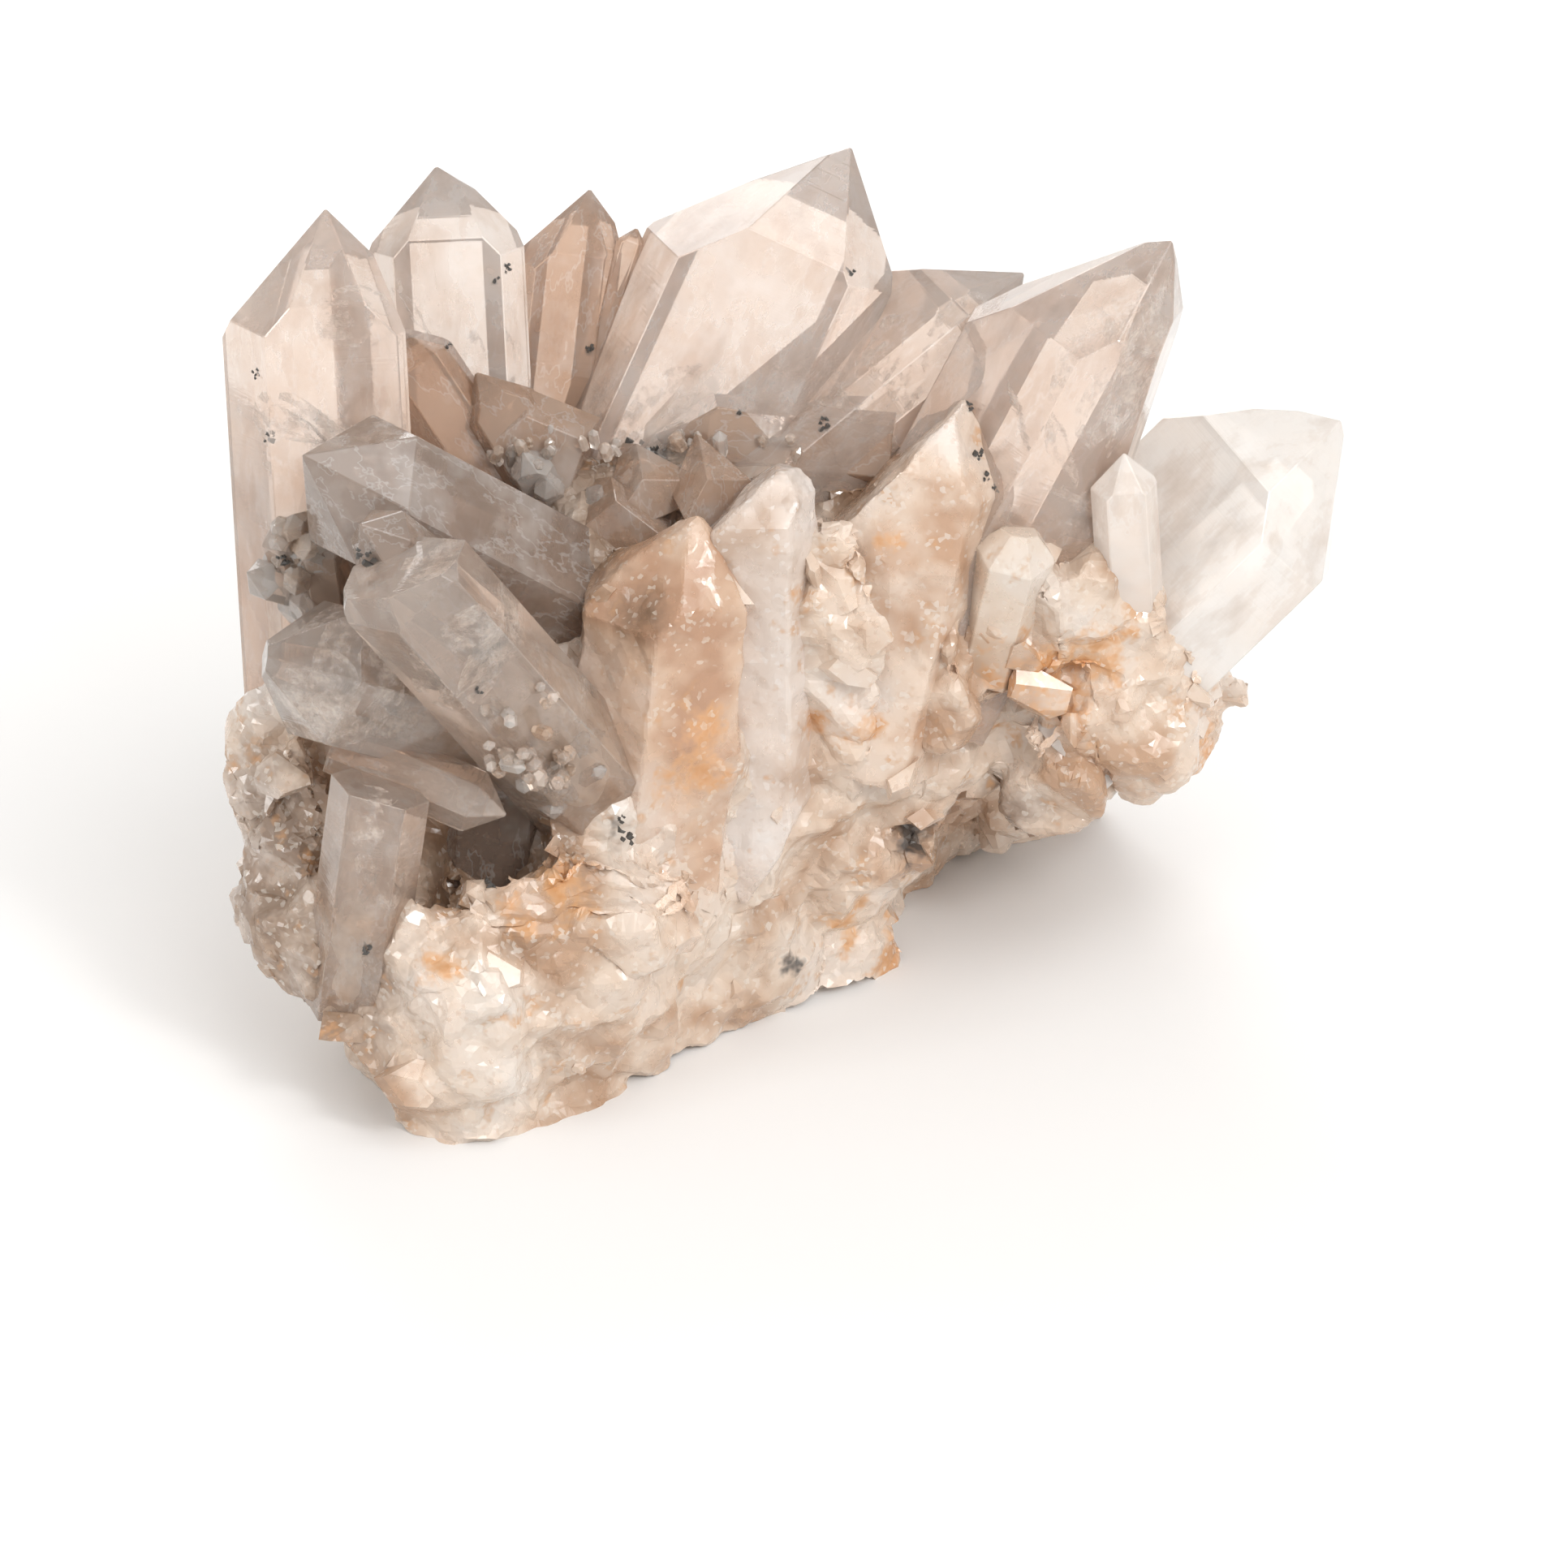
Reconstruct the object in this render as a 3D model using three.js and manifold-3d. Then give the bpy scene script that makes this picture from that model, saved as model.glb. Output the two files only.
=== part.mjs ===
// A natural cluster of clear quartz: long six-sided points that fan out of one rough, broken base.
// Millimetres, +Z up, +X to the right and +Y to the back. The base stands on z = 0.
import * as THREE from "three";
import { ConvexGeometry } from "three/addons/geometries/ConvexGeometry.js";
import { mergeVertices } from "three/addons/utils/BufferGeometryUtils.js";
import Module from "manifold-3d";

const wasm = await Module();
wasm.setup();

// Quartz grows with six prism faces, and its end faces lean 38.2 degrees from the long axis.
const END_FACE_LEAN = THREE.MathUtils.degToRad(38.2);
const SIXTH_TURN = Math.PI / 3;
// The side of the cluster that its hollow opens to: the front, seen from a little above.
const OPEN_SIDE = new THREE.Vector3(0, -Math.cos(Math.PI / 6), Math.sin(Math.PI / 6));
// Upwards as it is seen from that side.
const RISE = new THREE.Vector3(0, Math.sin(Math.PI / 6), Math.cos(Math.PI / 6));
const MERGE = 1e-4;

// Moves the whole cluster so that the middle of its outer box is over the origin.
const TO_ORIGIN = [-1.2, -20, 0];

const point = (list) => new THREE.Vector3(...list);

// A repeatable number from 0 to 1 for a whole number and a seed.
function chance(index, seed) {
  const wave = Math.sin(index * 12.9898 + seed * 78.233) * 43758.5453;
  return wave - Math.floor(wave);
}

// The closed solid inside a list of planes, each with an outward normal and a distance from the origin.
function insidePlanes(planes) {
  const corners = [];
  const slack = 1e-6;
  for (let i = 0; i < planes.length; i++)
    for (let j = i + 1; j < planes.length; j++)
      for (let k = j + 1; k < planes.length; k++) {
        const [a, b, c] = [planes[i], planes[j], planes[k]];
        const bc = b.normal.clone().cross(c.normal);
        const volume = a.normal.dot(bc);
        if (Math.abs(volume) < 1e-5) continue;
        const corner = bc
          .multiplyScalar(a.distance)
          .add(c.normal.clone().cross(a.normal).multiplyScalar(b.distance))
          .add(a.normal.clone().cross(b.normal).multiplyScalar(c.distance))
          .divideScalar(volume);
        const inside = planes.every((p) => p.normal.dot(corner) < p.distance + slack);
        if (inside && !corners.some((other) => other.distanceTo(corner) < 1e-3)) corners.push(corner);
      }
  return new ConvexGeometry(corners);
}

const planeThrough = (normal, place) => ({ normal, distance: normal.dot(place) });

// The long axis from root to tip, the direction across it that faces the open side, and the third one.
function crossFrame(root, tip, roll) {
  const along = tip.clone().sub(root).normalize();
  const facing = OPEN_SIDE.clone().addScaledVector(along, -OPEN_SIDE.dot(along)).normalize();
  facing.applyAxisAngle(along, THREE.MathUtils.degToRad(roll));
  return { along, facing, beside: along.clone().cross(facing) };
}

// One quartz point. sides are the distances of its six prism faces from the long axis, starting with
// the one that faces the open side and going to the right. caps say how far along the axis each end
// face is set back from the tip. cuts are broken faces: how much each one looks to the right, upwards
// and to the open side, and how far it is set back from the tip.
function quartzPoint({ root, tip, sides, roll = 0, caps = [0, 0, 0, 0, 0, 0], cuts = [] }) {
  const [foot, top] = [point(root), point(tip)];
  const { along, facing, beside } = crossFrame(foot, top, roll);
  const planes = [planeThrough(along.clone().negate(), foot)];
  sides.forEach((side, i) => {
    const out = facing.clone().multiplyScalar(Math.cos(i * SIXTH_TURN));
    out.addScaledVector(beside, Math.sin(i * SIXTH_TURN));
    planes.push(planeThrough(out, top.clone().addScaledVector(out, side)));
    const end = out.clone().multiplyScalar(Math.cos(END_FACE_LEAN));
    end.addScaledVector(along, Math.sin(END_FACE_LEAN));
    planes.push(planeThrough(end, top.clone().addScaledVector(along, -caps[i])));
  });
  for (const [right, up, open, back] of cuts) {
    const out = new THREE.Vector3(right, 0, 0).addScaledVector(RISE, up).addScaledVector(OPEN_SIDE, open);
    out.normalize();
    planes.push(planeThrough(out, top.clone().addScaledVector(out, -back)));
  }
  return insidePlanes(planes);
}

// Small points side by side, of different lengths and leanings.
function pointPatch({ at, spread, lean, count, length, seed }) {
  return Array.from({ length: count }, (_, i) => {
    const off = (axis) => 2 * chance(i, seed + axis) - 1;
    const root = point(at).add(new THREE.Vector3(spread[0] * off(0.1), spread[1] * off(0.2), spread[2] * off(0.3)));
    const way = point(lean).normalize();
    way.add(new THREE.Vector3(off(0.4), off(0.5), off(0.6)).multiplyScalar(0.45)).normalize();
    const reach = length * (0.55 + 0.45 * chance(i, seed + 0.7));
    const tip = root.clone().addScaledVector(way, reach);
    root.addScaledVector(way, -0.4 * reach);
    const sides = Array.from({ length: 6 }, (_, k) => reach * SMALL_POINT_SLIM * (0.8 + 0.4 * chance(k, seed + i)));
    return quartzPoint({ root: root.toArray(), tip: tip.toArray(), sides, roll: 60 * chance(i, seed + 0.8) });
  });
}

// Directions spread evenly over a ball, each nudged a little.
function spreadDirections(count, seed) {
  const goldenTurn = Math.PI * (3 - Math.sqrt(5));
  return Array.from({ length: count }, (_, i) => {
    const height = 1 - (2 * (i + 0.5)) / count + 0.25 * (chance(i, seed) - 0.5);
    const across = Math.sqrt(Math.max(0, 1 - height * height));
    const turn = goldenTurn * i + 1.2 * chance(i, seed + 0.5);
    return new THREE.Vector3(across * Math.cos(turn), across * Math.sin(turn), height).normalize();
  });
}

// A broken block with flat chipped faces, about as large as an ellipsoid of the given half sizes.
const CHIPS_PER_BLOCK = 22;
function brokenBlock({ at, half, seed }) {
  const middle = point(at);
  const planes = spreadDirections(CHIPS_PER_BLOCK, seed).map((local, i) => {
    const reach = Math.hypot(local.x * half[0], local.y * half[1], local.z * half[2]);
    const out = new THREE.Vector3(local.x, -local.y, local.z);
    return planeThrough(out, middle.clone().addScaledVector(out, reach * (0.8 + 0.2 * chance(i, seed + 7))));
  });
  return insidePlanes(planes);
}

const POINTS = {
  // The tall points that stand along the back.
  tallLeft: { tip: [-160, 40, 296], root: [-153, 5, 110], sides: [23, 32, 14, 29, 37, 31] },
  tallSecond: { tip: [-123, 80, 293], root: [-115, 30, 110], sides: [18, 28, 24, 23, 21, 23],
    caps: [0, -6, -6, 0, 0, 0], cuts: [[0.52, 0.86, 0.1, 0]] },
  tallThird: { tip: [-69, 95, 277], root: [-88, 50, 120], sides: [17, 16, 9, 17, 19, 22] },
  thirdCompanion: { tip: [-52, 80, 269], root: [-75, 60, 200], sides: [4, 4, 4, 5, 5, 5] },
  broadMiddle: { tip: [24, 85, 298], root: [-45, 45, 150], sides: [29, 32, 28, 32, 46, 48],
    caps: [0, 0, 0, 0, -4, -4], cuts: [[-0.32, 0.95, 0.05, 0]] },
  behindRight: { tip: [86, 90, 246], root: [-30, 26, 172], sides: [24, 27, 26, 24, 34, 24], roll: 30 },
  broadRight: { tip: [136, 45, 281], root: [50, 20, 110], sides: [26, 26, 26, 35, 50, 35], roll: 30,
    caps: [0, 0, 0, 0, -5, 0], cuts: [[1, 0, 0.2, -1], [0.94, -0.34, 0.1, -10.3]] },
  farRight: { tip: [200, 60, 197], root: [95, 32, 95], sides: [35, 32, 32, 32, 49, 28], roll: 30,
    caps: [0, 0, 0, -5, -20, -5], cuts: [[0.05, 1, 0.1, -7]] },
  smallRight: { tip: [119, 5, 218], root: [124, 14, 150], sides: [9, 10, 9, 10, 11, 11] },
  blockyRight: { tip: [84, -5, 198], root: [72, 10, 130], sides: [13, 13, 12, 12, 13, 13],
    cuts: [[0.2, 1, 0.4, 7]] },
  // The clear points that lie over the left of the hollow.
  greyLeft: { tip: [-165, -52, 247], root: [-60, 15, 146], sides: [24, 24, 24, 24, 25, 25], roll: 30 },
  darkKnob: { tip: [-144, -85, 238], root: [-112, -50, 189], sides: [11, 11, 11, 11, 11, 11] },
  clearBroken: { tip: [-142, -112, 250], root: [-68, -38, 108], sides: [21, 22, 20, 21, 20, 22],
    cuts: [[-0.4, 1, 0.5, 24]] },
  ribbedLeft: { tip: [-184, -70, 180], root: [-92, -30, 128], sides: [24, 24, 24, 24, 24, 24], roll: 30,
    cuts: [[-1, 0.1, 0.2, 6]] },
  crossing: { tip: [-96, -76, 118], root: [-156, -62, 140], sides: [10, 10, 10, 10, 10, 10] },
  stubby: { tip: [-135, -90, 160], root: [-152, -72, 40], sides: [14, 15, 14, 14, 16, 16],
    cuts: [[0.3, 1, 0.4, 24]] },
  innerDark: { tip: [-100, -28, 142], root: [-106, -34, 40], sides: [20, 22, 18, 18, 20, 20] },
  smallLeft: { tip: [-176, -25, 209], root: [-160, -8, 150], sides: [8, 8, 8, 8, 8, 8] },
  smallLeftTwo: { tip: [-162, -30, 212], root: [-158, -8, 150], sides: [10, 9, 9, 9, 10, 10] },
  // Points in the hollow, and the rounded ones of the front wall.
  hollowBrown: { tip: [-109, 40, 232], root: [-75, 20, 180], sides: [9, 14, 12, 12, 12, 12] },
  leaning: { tip: [-140, 55, 244], root: [-95, 30, 180], sides: [14, 14, 12, 12, 14, 14] },
  lyingDark: { tip: [-46, 38, 208], root: [36, 44, 196], sides: [14, 16, 14, 14, 16, 14] },
  wallTan: { tip: [-40, -18, 206], root: [-55, -30, 62], sides: [26, 30, 24, 22, 26, 27], roll: 30,
    cuts: [[0.2, 1, 0.4, 6]] },
  wallPale: { tip: [-12, -4, 228], root: [-12, -16, 56], sides: [20, 22, 20, 20, 22, 20],
    cuts: [[0, 1, 0.3, 10], [-0.7, 0.7, 0.2, 14]] },
  wallPeach: { tip: [58, 22, 243], root: [24, 6, 98], sides: [24, 26, 24, 24, 32, 28],
    cuts: [[0.6, 1, 0.4, 8], [-0.9, 0.9, 0.2, 14]] },
  // Points on the side away from the hollow.
  backLow: { tip: [-165, 118, 165], root: [-115, 50, 80], sides: [17, 15, 17, 17, 15, 17] },
  backSecond: { tip: [-98, 148, 172], root: [-78, 60, 70], sides: [20, 22, 20, 20, 22, 20] },
  backMiddle: { tip: [-34, 158, 150], root: [-40, 70, 70], sides: [17, 18, 17, 17, 18, 17] },
  backBroad: { tip: [32, 156, 172], root: [8, 70, 70], sides: [22, 24, 22, 22, 24, 22] },
  backRight: { tip: [98, 146, 148], root: [55, 65, 75], sides: [18, 20, 18, 18, 20, 18] },
  backOuter: { tip: [162, 118, 122], root: [95, 50, 80], sides: [19, 18, 19, 19, 18, 19] },
  backFoot: { tip: [-122, 152, 78], root: [-60, 60, 60], sides: [17, 18, 17, 17, 18, 17] },
  backFootRight: { tip: [62, 160, 62], root: [40, 70, 55], sides: [16, 15, 16, 16, 15, 16] },
};

// Patches of small points that grow on the base and between the tall ones. Each has its middle, how far
// it spreads, which way its points lean, and the length of the longest one.
const PATCHES = {
  hollowFloor: { at: [-58, 22, 186], spread: [34, 8, 6], lean: [0, -0.3, 1], count: 9, length: 30, seed: 61 },
  brokenFoot: { at: [-84, -58, 128], spread: [16, 4, 16], lean: [0.3, -1, 0.6], count: 8, length: 22, seed: 62 },
  leftCorner: { at: [-160, -14, 166], spread: [12, 8, 12], lean: [-0.5, -0.6, 1], count: 7, length: 32, seed: 63 },
  rightCorner: { at: [104, 14, 150], spread: [12, 4, 10], lean: [0.2, -0.6, 1], count: 5, length: 28, seed: 64 },
  backCrest: { at: [-20, 96, 118], spread: [95, 12, 18], lean: [0, 0.8, 1], count: 20, length: 52, seed: 65 },
  backLower: { at: [-10, 128, 62], spread: [95, 10, 26], lean: [0, 1, 0.5], count: 16, length: 40, seed: 66 },
};
const SMALL_POINT_SLIM = 0.22;

// Lumps and slabs that stand out of the base.
const BLOCKS = {
  nearSlab: { at: [-108, -92, 50], half: [18, 16, 26], seed: 6 },
  paleShelf: { at: [-62, -74, 80], half: [40, 20, 22], seed: 7 },
  leftWallTop: { at: [-173, -44, 104], half: [16, 18, 32], seed: 12 },
  leftSkirt: { at: [-140, -78, 36], half: [22, 20, 22], seed: 15 },
  rightRoot: { at: [98, 20, 90], half: [28, 26, 30], seed: 44 },
  rightLump: { at: [108, 18, 150], half: [24, 18, 24], seed: 40 },
  rightMass: { at: [112, 22, 120], half: [30, 18, 40], seed: 45 },
  rightBridge: { at: [136, 36, 92], half: [22, 18, 20], seed: 46 },
  rightCover: { at: [124, 16, 98], half: [20, 16, 24], seed: 49 },
  wallSeam: { at: [10, -1, 148], half: [12, 14, 50], seed: 47 },
  wallRight: { at: [84, 10, 142], half: [20, 14, 30], seed: 48 },
  rightPeach: { at: [142, 47, 82], half: [20, 20, 20], seed: 41 },
  rightStub: { at: [155, 44, 102], half: [11, 12, 16], seed: 42 },
  archLump: { at: [88, 88, 38], half: [22, 24, 28], seed: 43 },
  wallLow: { at: [54, 4, 134], half: [22, 18, 34], seed: 30 },
  hollowLeft: { at: [-80, 28, 194], half: [24, 14, 12], seed: 23 },
  hollowMiddle: { at: [-45, 26, 194], half: [26, 16, 12], seed: 24 },
};

// Broken-out places in the base.
const HOLLOWS = {
  leftCave: { at: [-134, -64, 98], half: [30, 22, 32], seed: 51 },
  innerCave: { at: [-108, -66, 100], half: [28, 18, 34], seed: 53 },
  smallCave: { at: [46, 0, 62], half: [13, 12, 12], seed: 52 },
};

// Outlines of the base, seen from above, from its foot to the floor of the hollow on top. Each has
// its height and the same row of places: along the front from the left, up the right, along the back
// and down the left.
const BASE_LEVELS = [
  [-6, [-112, -105], [-82, -92], [-52, -66], [-22, -26], [12, -6], [39, 20], [46, 76], [88, 122],
    [122, 132], [60, 150], [-40, 142], [-112, 96], [-140, 0], [-130, -80]],
  [30, [-113, -110], [-80, -98], [-50, -72], [-18, -32], [20, -8], [42, 14], [52, 66], [94, 92],
    [130, 118], [62, 154], [-44, 148], [-126, 98], [-164, -6], [-164, -78]],
  [60, [-114, -108], [-78, -100], [-48, -78], [-16, -38], [24, -14], [54, 8], [72, 36], [110, 62],
    [146, 92], [66, 152], [-46, 146], [-134, 94], [-184, -12], [-188, -62]],
  [88, [-116, -92], [-78, -94], [-50, -74], [-14, -35], [28, -14], [66, 2], [98, 14], [138, 40],
    [152, 70], [70, 144], [-48, 140], [-134, 88], [-188, -12], [-192, -54]],
  [112, [-118, -54], [-80, -60], [-50, -58], [-14, -30], [28, -12], [66, 0], [104, 10], [146, 32],
    [150, 62], [68, 126], [-48, 124], [-128, 80], [-186, -12], [-191, -48]],
  [140, [-110, -32], [-78, -36], [-46, -36], [-12, -22], [30, -6], [66, 6], [98, 14], [126, 34],
    [122, 62], [60, 100], [-46, 100], [-118, 68], [-168, 0], [-176, -30]],
  [170, [-90, -10], [-68, -12], [-40, -12], [-10, -6], [26, 8], [56, 16], [80, 24], [94, 42],
    [84, 62], [44, 84], [-42, 84], [-100, 60], [-142, 20], [-122, -8]],
  [194, [-80, 12], [-62, 10], [-38, 10], [-12, 14], [16, 22], [36, 28], [50, 36], [56, 50],
    [46, 64], [20, 72], [-40, 72], [-78, 56], [-100, 32], [-92, 14]],
];
const CHIPS_PER_PLACE = 3;
const CHIPS_PER_LEVEL = 2;
const CHIP_DEPTH = 7;

// The broken base: one closed skin through the outlines, with every corner knocked in or out a little.
function brokenBase() {
  const outlines = BASE_LEVELS.map(([height, ...places]) => {
    return new THREE.CatmullRomCurve3(places.map(([x, y]) => new THREE.Vector3(x, y, height)), true);
  });
  const perRing = outlines[0].points.length * CHIPS_PER_PLACE;
  const ringCount = (outlines.length - 1) * CHIPS_PER_LEVEL + 1;
  const rings = Array.from({ length: ringCount }, (_, ring) => {
    const lower = Math.min(Math.floor(ring / CHIPS_PER_LEVEL), outlines.length - 2);
    const share = ring / CHIPS_PER_LEVEL - lower;
    return Array.from({ length: perRing }, (_, i) => {
      const place = outlines[lower].getPoint(i / perRing).lerp(outlines[lower + 1].getPoint(i / perRing), share);
      const outward = new THREE.Vector3(place.x, place.y - 20, 0).normalize();
      place.addScaledVector(outward, CHIP_DEPTH * (chance(i, ring + 60) - 0.5));
      place.z += ring === 0 ? 0 : CHIP_DEPTH * (chance(i, ring + 80) - 0.5);
      return place;
    });
  });
  const count = rings[0].length;
  const corners = rings.flat();
  const middle = (ring) => ring.reduce((sum, p) => sum.add(p), new THREE.Vector3()).divideScalar(ring.length);
  corners.push(middle(rings[0]), middle(rings.at(-1)));
  const faces = [];
  for (let i = 0; i < count; i++) {
    const next = (i + 1) % count;
    for (let level = 0; level + 1 < rings.length; level++) {
      const low = level * count;
      const high = low + count;
      // The diagonal changes side from place to place, so that the facets don't line up.
      if (chance(i, level + 30) < 0.5) faces.push(low + i, low + next, high + i, low + next, high + next, high + i);
      else faces.push(low + i, low + next, high + next, low + i, high + next, high + i);
    }
    const top = (rings.length - 1) * count;
    faces.push(corners.length - 2, next, i, corners.length - 1, top + i, top + next);
  }
  const geometry = new THREE.BufferGeometry().setFromPoints(corners);
  geometry.setIndex(faces);
  return geometry;
}

// Joins shared corners and makes a solid that can be joined and cut.
function toSolid(geometry) {
  const bare = geometry.clone();
  bare.deleteAttribute("normal");
  bare.deleteAttribute("uv");
  const merged = mergeVertices(bare, MERGE);
  return new wasm.Manifold(
    new wasm.Mesh({
      numProp: 3,
      vertProperties: merged.attributes.position.array,
      triVerts: new Uint32Array(merged.index.array),
    }),
  );
}

function toGeometry(solid) {
  const mesh = solid.getMesh();
  const geometry = new THREE.BufferGeometry();
  geometry.setAttribute("position", new THREE.BufferAttribute(new Float32Array(mesh.vertProperties), 3));
  geometry.setIndex(new THREE.BufferAttribute(mesh.triVerts, 1));
  return geometry;
}

function clusterSolid() {
  const hollows = Object.values(HOLLOWS).map(brokenBlock).map(toSolid);
  const base = hollows.reduce((rest, hollow) => rest.subtract(hollow), toSolid(brokenBase()));
  const grown = [
    ...Object.values(POINTS).map(quartzPoint),
    ...Object.values(PATCHES).flatMap(pointPatch),
    ...Object.values(BLOCKS).map(brokenBlock),
  ];
  const joined = grown.map(toSolid).reduce((whole, piece) => whole.add(piece), base);
  const ground = new THREE.BoxGeometry(1000, 1000, 200).translate(0, 0, -100);
  // The outer skin alone, because pockets closed off between the points are grown full of quartz.
  const skins = joined.subtract(toSolid(ground)).decompose();
  return skins.reduce((largest, skin) => (skin.volume() > largest.volume() ? skin : largest));
}

const quartz = new THREE.MeshStandardMaterial({ color: 0xe4d5c8, roughness: 0.25, metalness: 0 });
const cluster = new THREE.Mesh(toGeometry(clusterSolid()).translate(...TO_ORIGIN), quartz);
cluster.name = "quartz_cluster";

const group = new THREE.Group();
group.add(cluster);

export default group;
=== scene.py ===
# A natural cluster of clear quartz: long six-sided points that fan out of one rough, broken base.
# Metres, +Z up, +X to the right and +Y to the back, in the same frame as the solid.
import math

import bmesh
import bpy
from mathutils import Matrix, Vector


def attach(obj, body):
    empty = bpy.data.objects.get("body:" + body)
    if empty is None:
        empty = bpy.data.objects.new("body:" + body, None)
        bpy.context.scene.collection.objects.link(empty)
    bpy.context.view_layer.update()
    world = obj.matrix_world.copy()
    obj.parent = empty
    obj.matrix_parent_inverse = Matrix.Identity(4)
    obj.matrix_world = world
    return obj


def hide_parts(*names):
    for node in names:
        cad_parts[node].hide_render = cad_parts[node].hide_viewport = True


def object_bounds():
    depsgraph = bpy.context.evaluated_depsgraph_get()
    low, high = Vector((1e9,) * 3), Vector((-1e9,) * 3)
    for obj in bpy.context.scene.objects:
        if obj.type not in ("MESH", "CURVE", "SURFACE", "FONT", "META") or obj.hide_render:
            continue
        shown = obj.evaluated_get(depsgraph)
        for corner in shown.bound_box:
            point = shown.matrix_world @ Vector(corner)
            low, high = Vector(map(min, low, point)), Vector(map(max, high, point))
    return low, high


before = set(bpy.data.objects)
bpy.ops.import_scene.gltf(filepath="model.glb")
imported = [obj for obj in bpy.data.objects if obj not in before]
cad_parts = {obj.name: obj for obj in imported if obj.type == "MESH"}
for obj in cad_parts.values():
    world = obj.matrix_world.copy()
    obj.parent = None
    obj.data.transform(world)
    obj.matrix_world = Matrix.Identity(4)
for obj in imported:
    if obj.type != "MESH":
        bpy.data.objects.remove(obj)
cad_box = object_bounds()
MM = 0.001


# The camera looks at the open side from 30 degrees above, far off and with a long lens.
CAMERA_AIM = Vector((-1.2, -20, 87)) * MM
CAMERA_HEIGHT = math.radians(30)
CAMERA_DISTANCE = 2957.03 * MM
# Film width and focal length in millimetres of the camera, and how far it sees in metres.
CAMERA_FILM = 36
CAMERA_LENS = 190
CAMERA_REACH = 100
towards_camera = Vector((0, -math.cos(CAMERA_HEIGHT), math.sin(CAMERA_HEIGHT)))
bpy.ops.object.camera_add(
    location=CAMERA_AIM + towards_camera * CAMERA_DISTANCE,
    rotation=(math.pi / 2 - CAMERA_HEIGHT, 0, 0),
)
camera = bpy.context.object
camera.data.sensor_width = CAMERA_FILM
camera.data.lens = CAMERA_LENS
camera.data.clip_end = CAMERA_REACH
bpy.context.scene.camera = camera
bpy.context.scene.view_settings.view_transform = "Standard"


# The floor is one plain pale sheet. It is a studio sweep of painted board, large enough to fill every
# view, and the cluster stands on it by its flat underside.
FLOOR_WIDTH = 60


def linear(hex_colour):
    """An sRGB colour such as "e4d5c8" as the linear numbers that a shader takes."""
    parts = [int(hex_colour[i : i + 2], 16) / 255 for i in (0, 2, 4)]
    return [p / 12.92 if p <= 0.04045 else ((p + 0.055) / 1.055) ** 2.4 for p in parts] + [1]


def add_node(tree, kind, inputs=None, **settings):
    """Adds one shader node, sets it up, and links or sets each of its inputs."""
    made = tree.nodes.new("ShaderNode" + kind)
    for name, value in settings.items():
        setattr(made, name, value)
    for socket, value in (inputs or {}).items():
        if isinstance(value, bpy.types.NodeSocket):
            tree.links.new(value, made.inputs[socket])
        else:
            made.inputs[socket].default_value = value
    return made


def new_material(name):
    """An empty material with its node tree, its surface shader and its output."""
    made = bpy.data.materials.new(name)
    made.use_nodes = True
    made.node_tree.nodes.clear()
    tree = made.node_tree
    shader = add_node(tree, "BsdfPrincipled")
    output = add_node(tree, "OutputMaterial", {"Surface": shader.outputs["BSDF"]})
    return made, tree, shader, output


bpy.ops.object.select_all(action="DESELECT")
bpy.ops.mesh.primitive_plane_add(size=FLOOR_WIDTH)
floor = bpy.context.object
floor.name = "floor"
# Board painted matt white: it takes soft shadows and gives no reflection of the cluster.
painted_board, tree, shader, output = new_material("painted board, matt white")
shader.inputs["Base Color"].default_value = linear("e2e1e0")
shader.inputs["Roughness"].default_value = 0.9
floor.data.materials.append(painted_board)


# Soft studio light: a white room, a wide soft light from high on the right in front, and three soft
# boxes that give the faces their highlights.
room = bpy.data.worlds.new("white room")
room.use_nodes = True
bpy.context.scene.world = room
ROOM_STRENGTH = 0.76
room.node_tree.nodes["Background"].inputs["Color"].default_value = linear("fbfaf8")
room.node_tree.nodes["Background"].inputs["Strength"].default_value = ROOM_STRENGTH


def facing_along(way):
    """The rotation that makes a light shine that way."""
    return way.to_track_quat("-Z", "Y").to_euler()


def soft_box(name, place, aim, size, watts):
    """A square light with sides of that size in metres."""
    way = Vector(aim) - Vector(place)
    bpy.ops.object.light_add(type="AREA", location=place, rotation=facing_along(way))
    light = bpy.context.object
    light.name = name
    light.data.size = size
    light.data.energy = watts


soft_box("key", (1.1, -1.5, 1.6), (0, 0, 0.12), 0.45, 15)
soft_box("left", (-1.7, -1.2, 1.1), (0, 0, 0.15), 0.7, 13)
soft_box("back", (-0.3, 1.6, 1.3), (0, 0, 0.15), 1.2, 15)
WIDE_WAY = Vector((-0.5, 0.6, -0.95))
WIDE_ANGLE = math.radians(50)
WIDE_STRENGTH = 1.35
bpy.ops.object.light_add(type="SUN", location=(1, -1, 2), rotation=facing_along(WIDE_WAY))
wide_light = bpy.context.object
wide_light.name = "wide"
wide_light.data.angle = WIDE_ANGLE
wide_light.data.energy = WIDE_STRENGTH


# The rough base is massive milky quartz, broken off the wall of the pocket that the points grew in.
# It is creamy white, with peach and orange stains of iron, and chipped all over like broken glass.

# From where the cluster was measured to where it stands in the frame of the part, in millimetres.
TO_ORIGIN = Vector((-1.2, -20, 0))


def at(place):
    """A place in millimetres, as it was measured, in the frame of the part in metres."""
    return (Vector(place) + TO_ORIGIN) * MM


def chance(index, seed):
    """A repeatable number from 0 to 1 for a whole number and a seed."""
    wave = math.sin(index * 12.9898 + seed * 78.233) * 43758.5453
    return wave - math.floor(wave)


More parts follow.
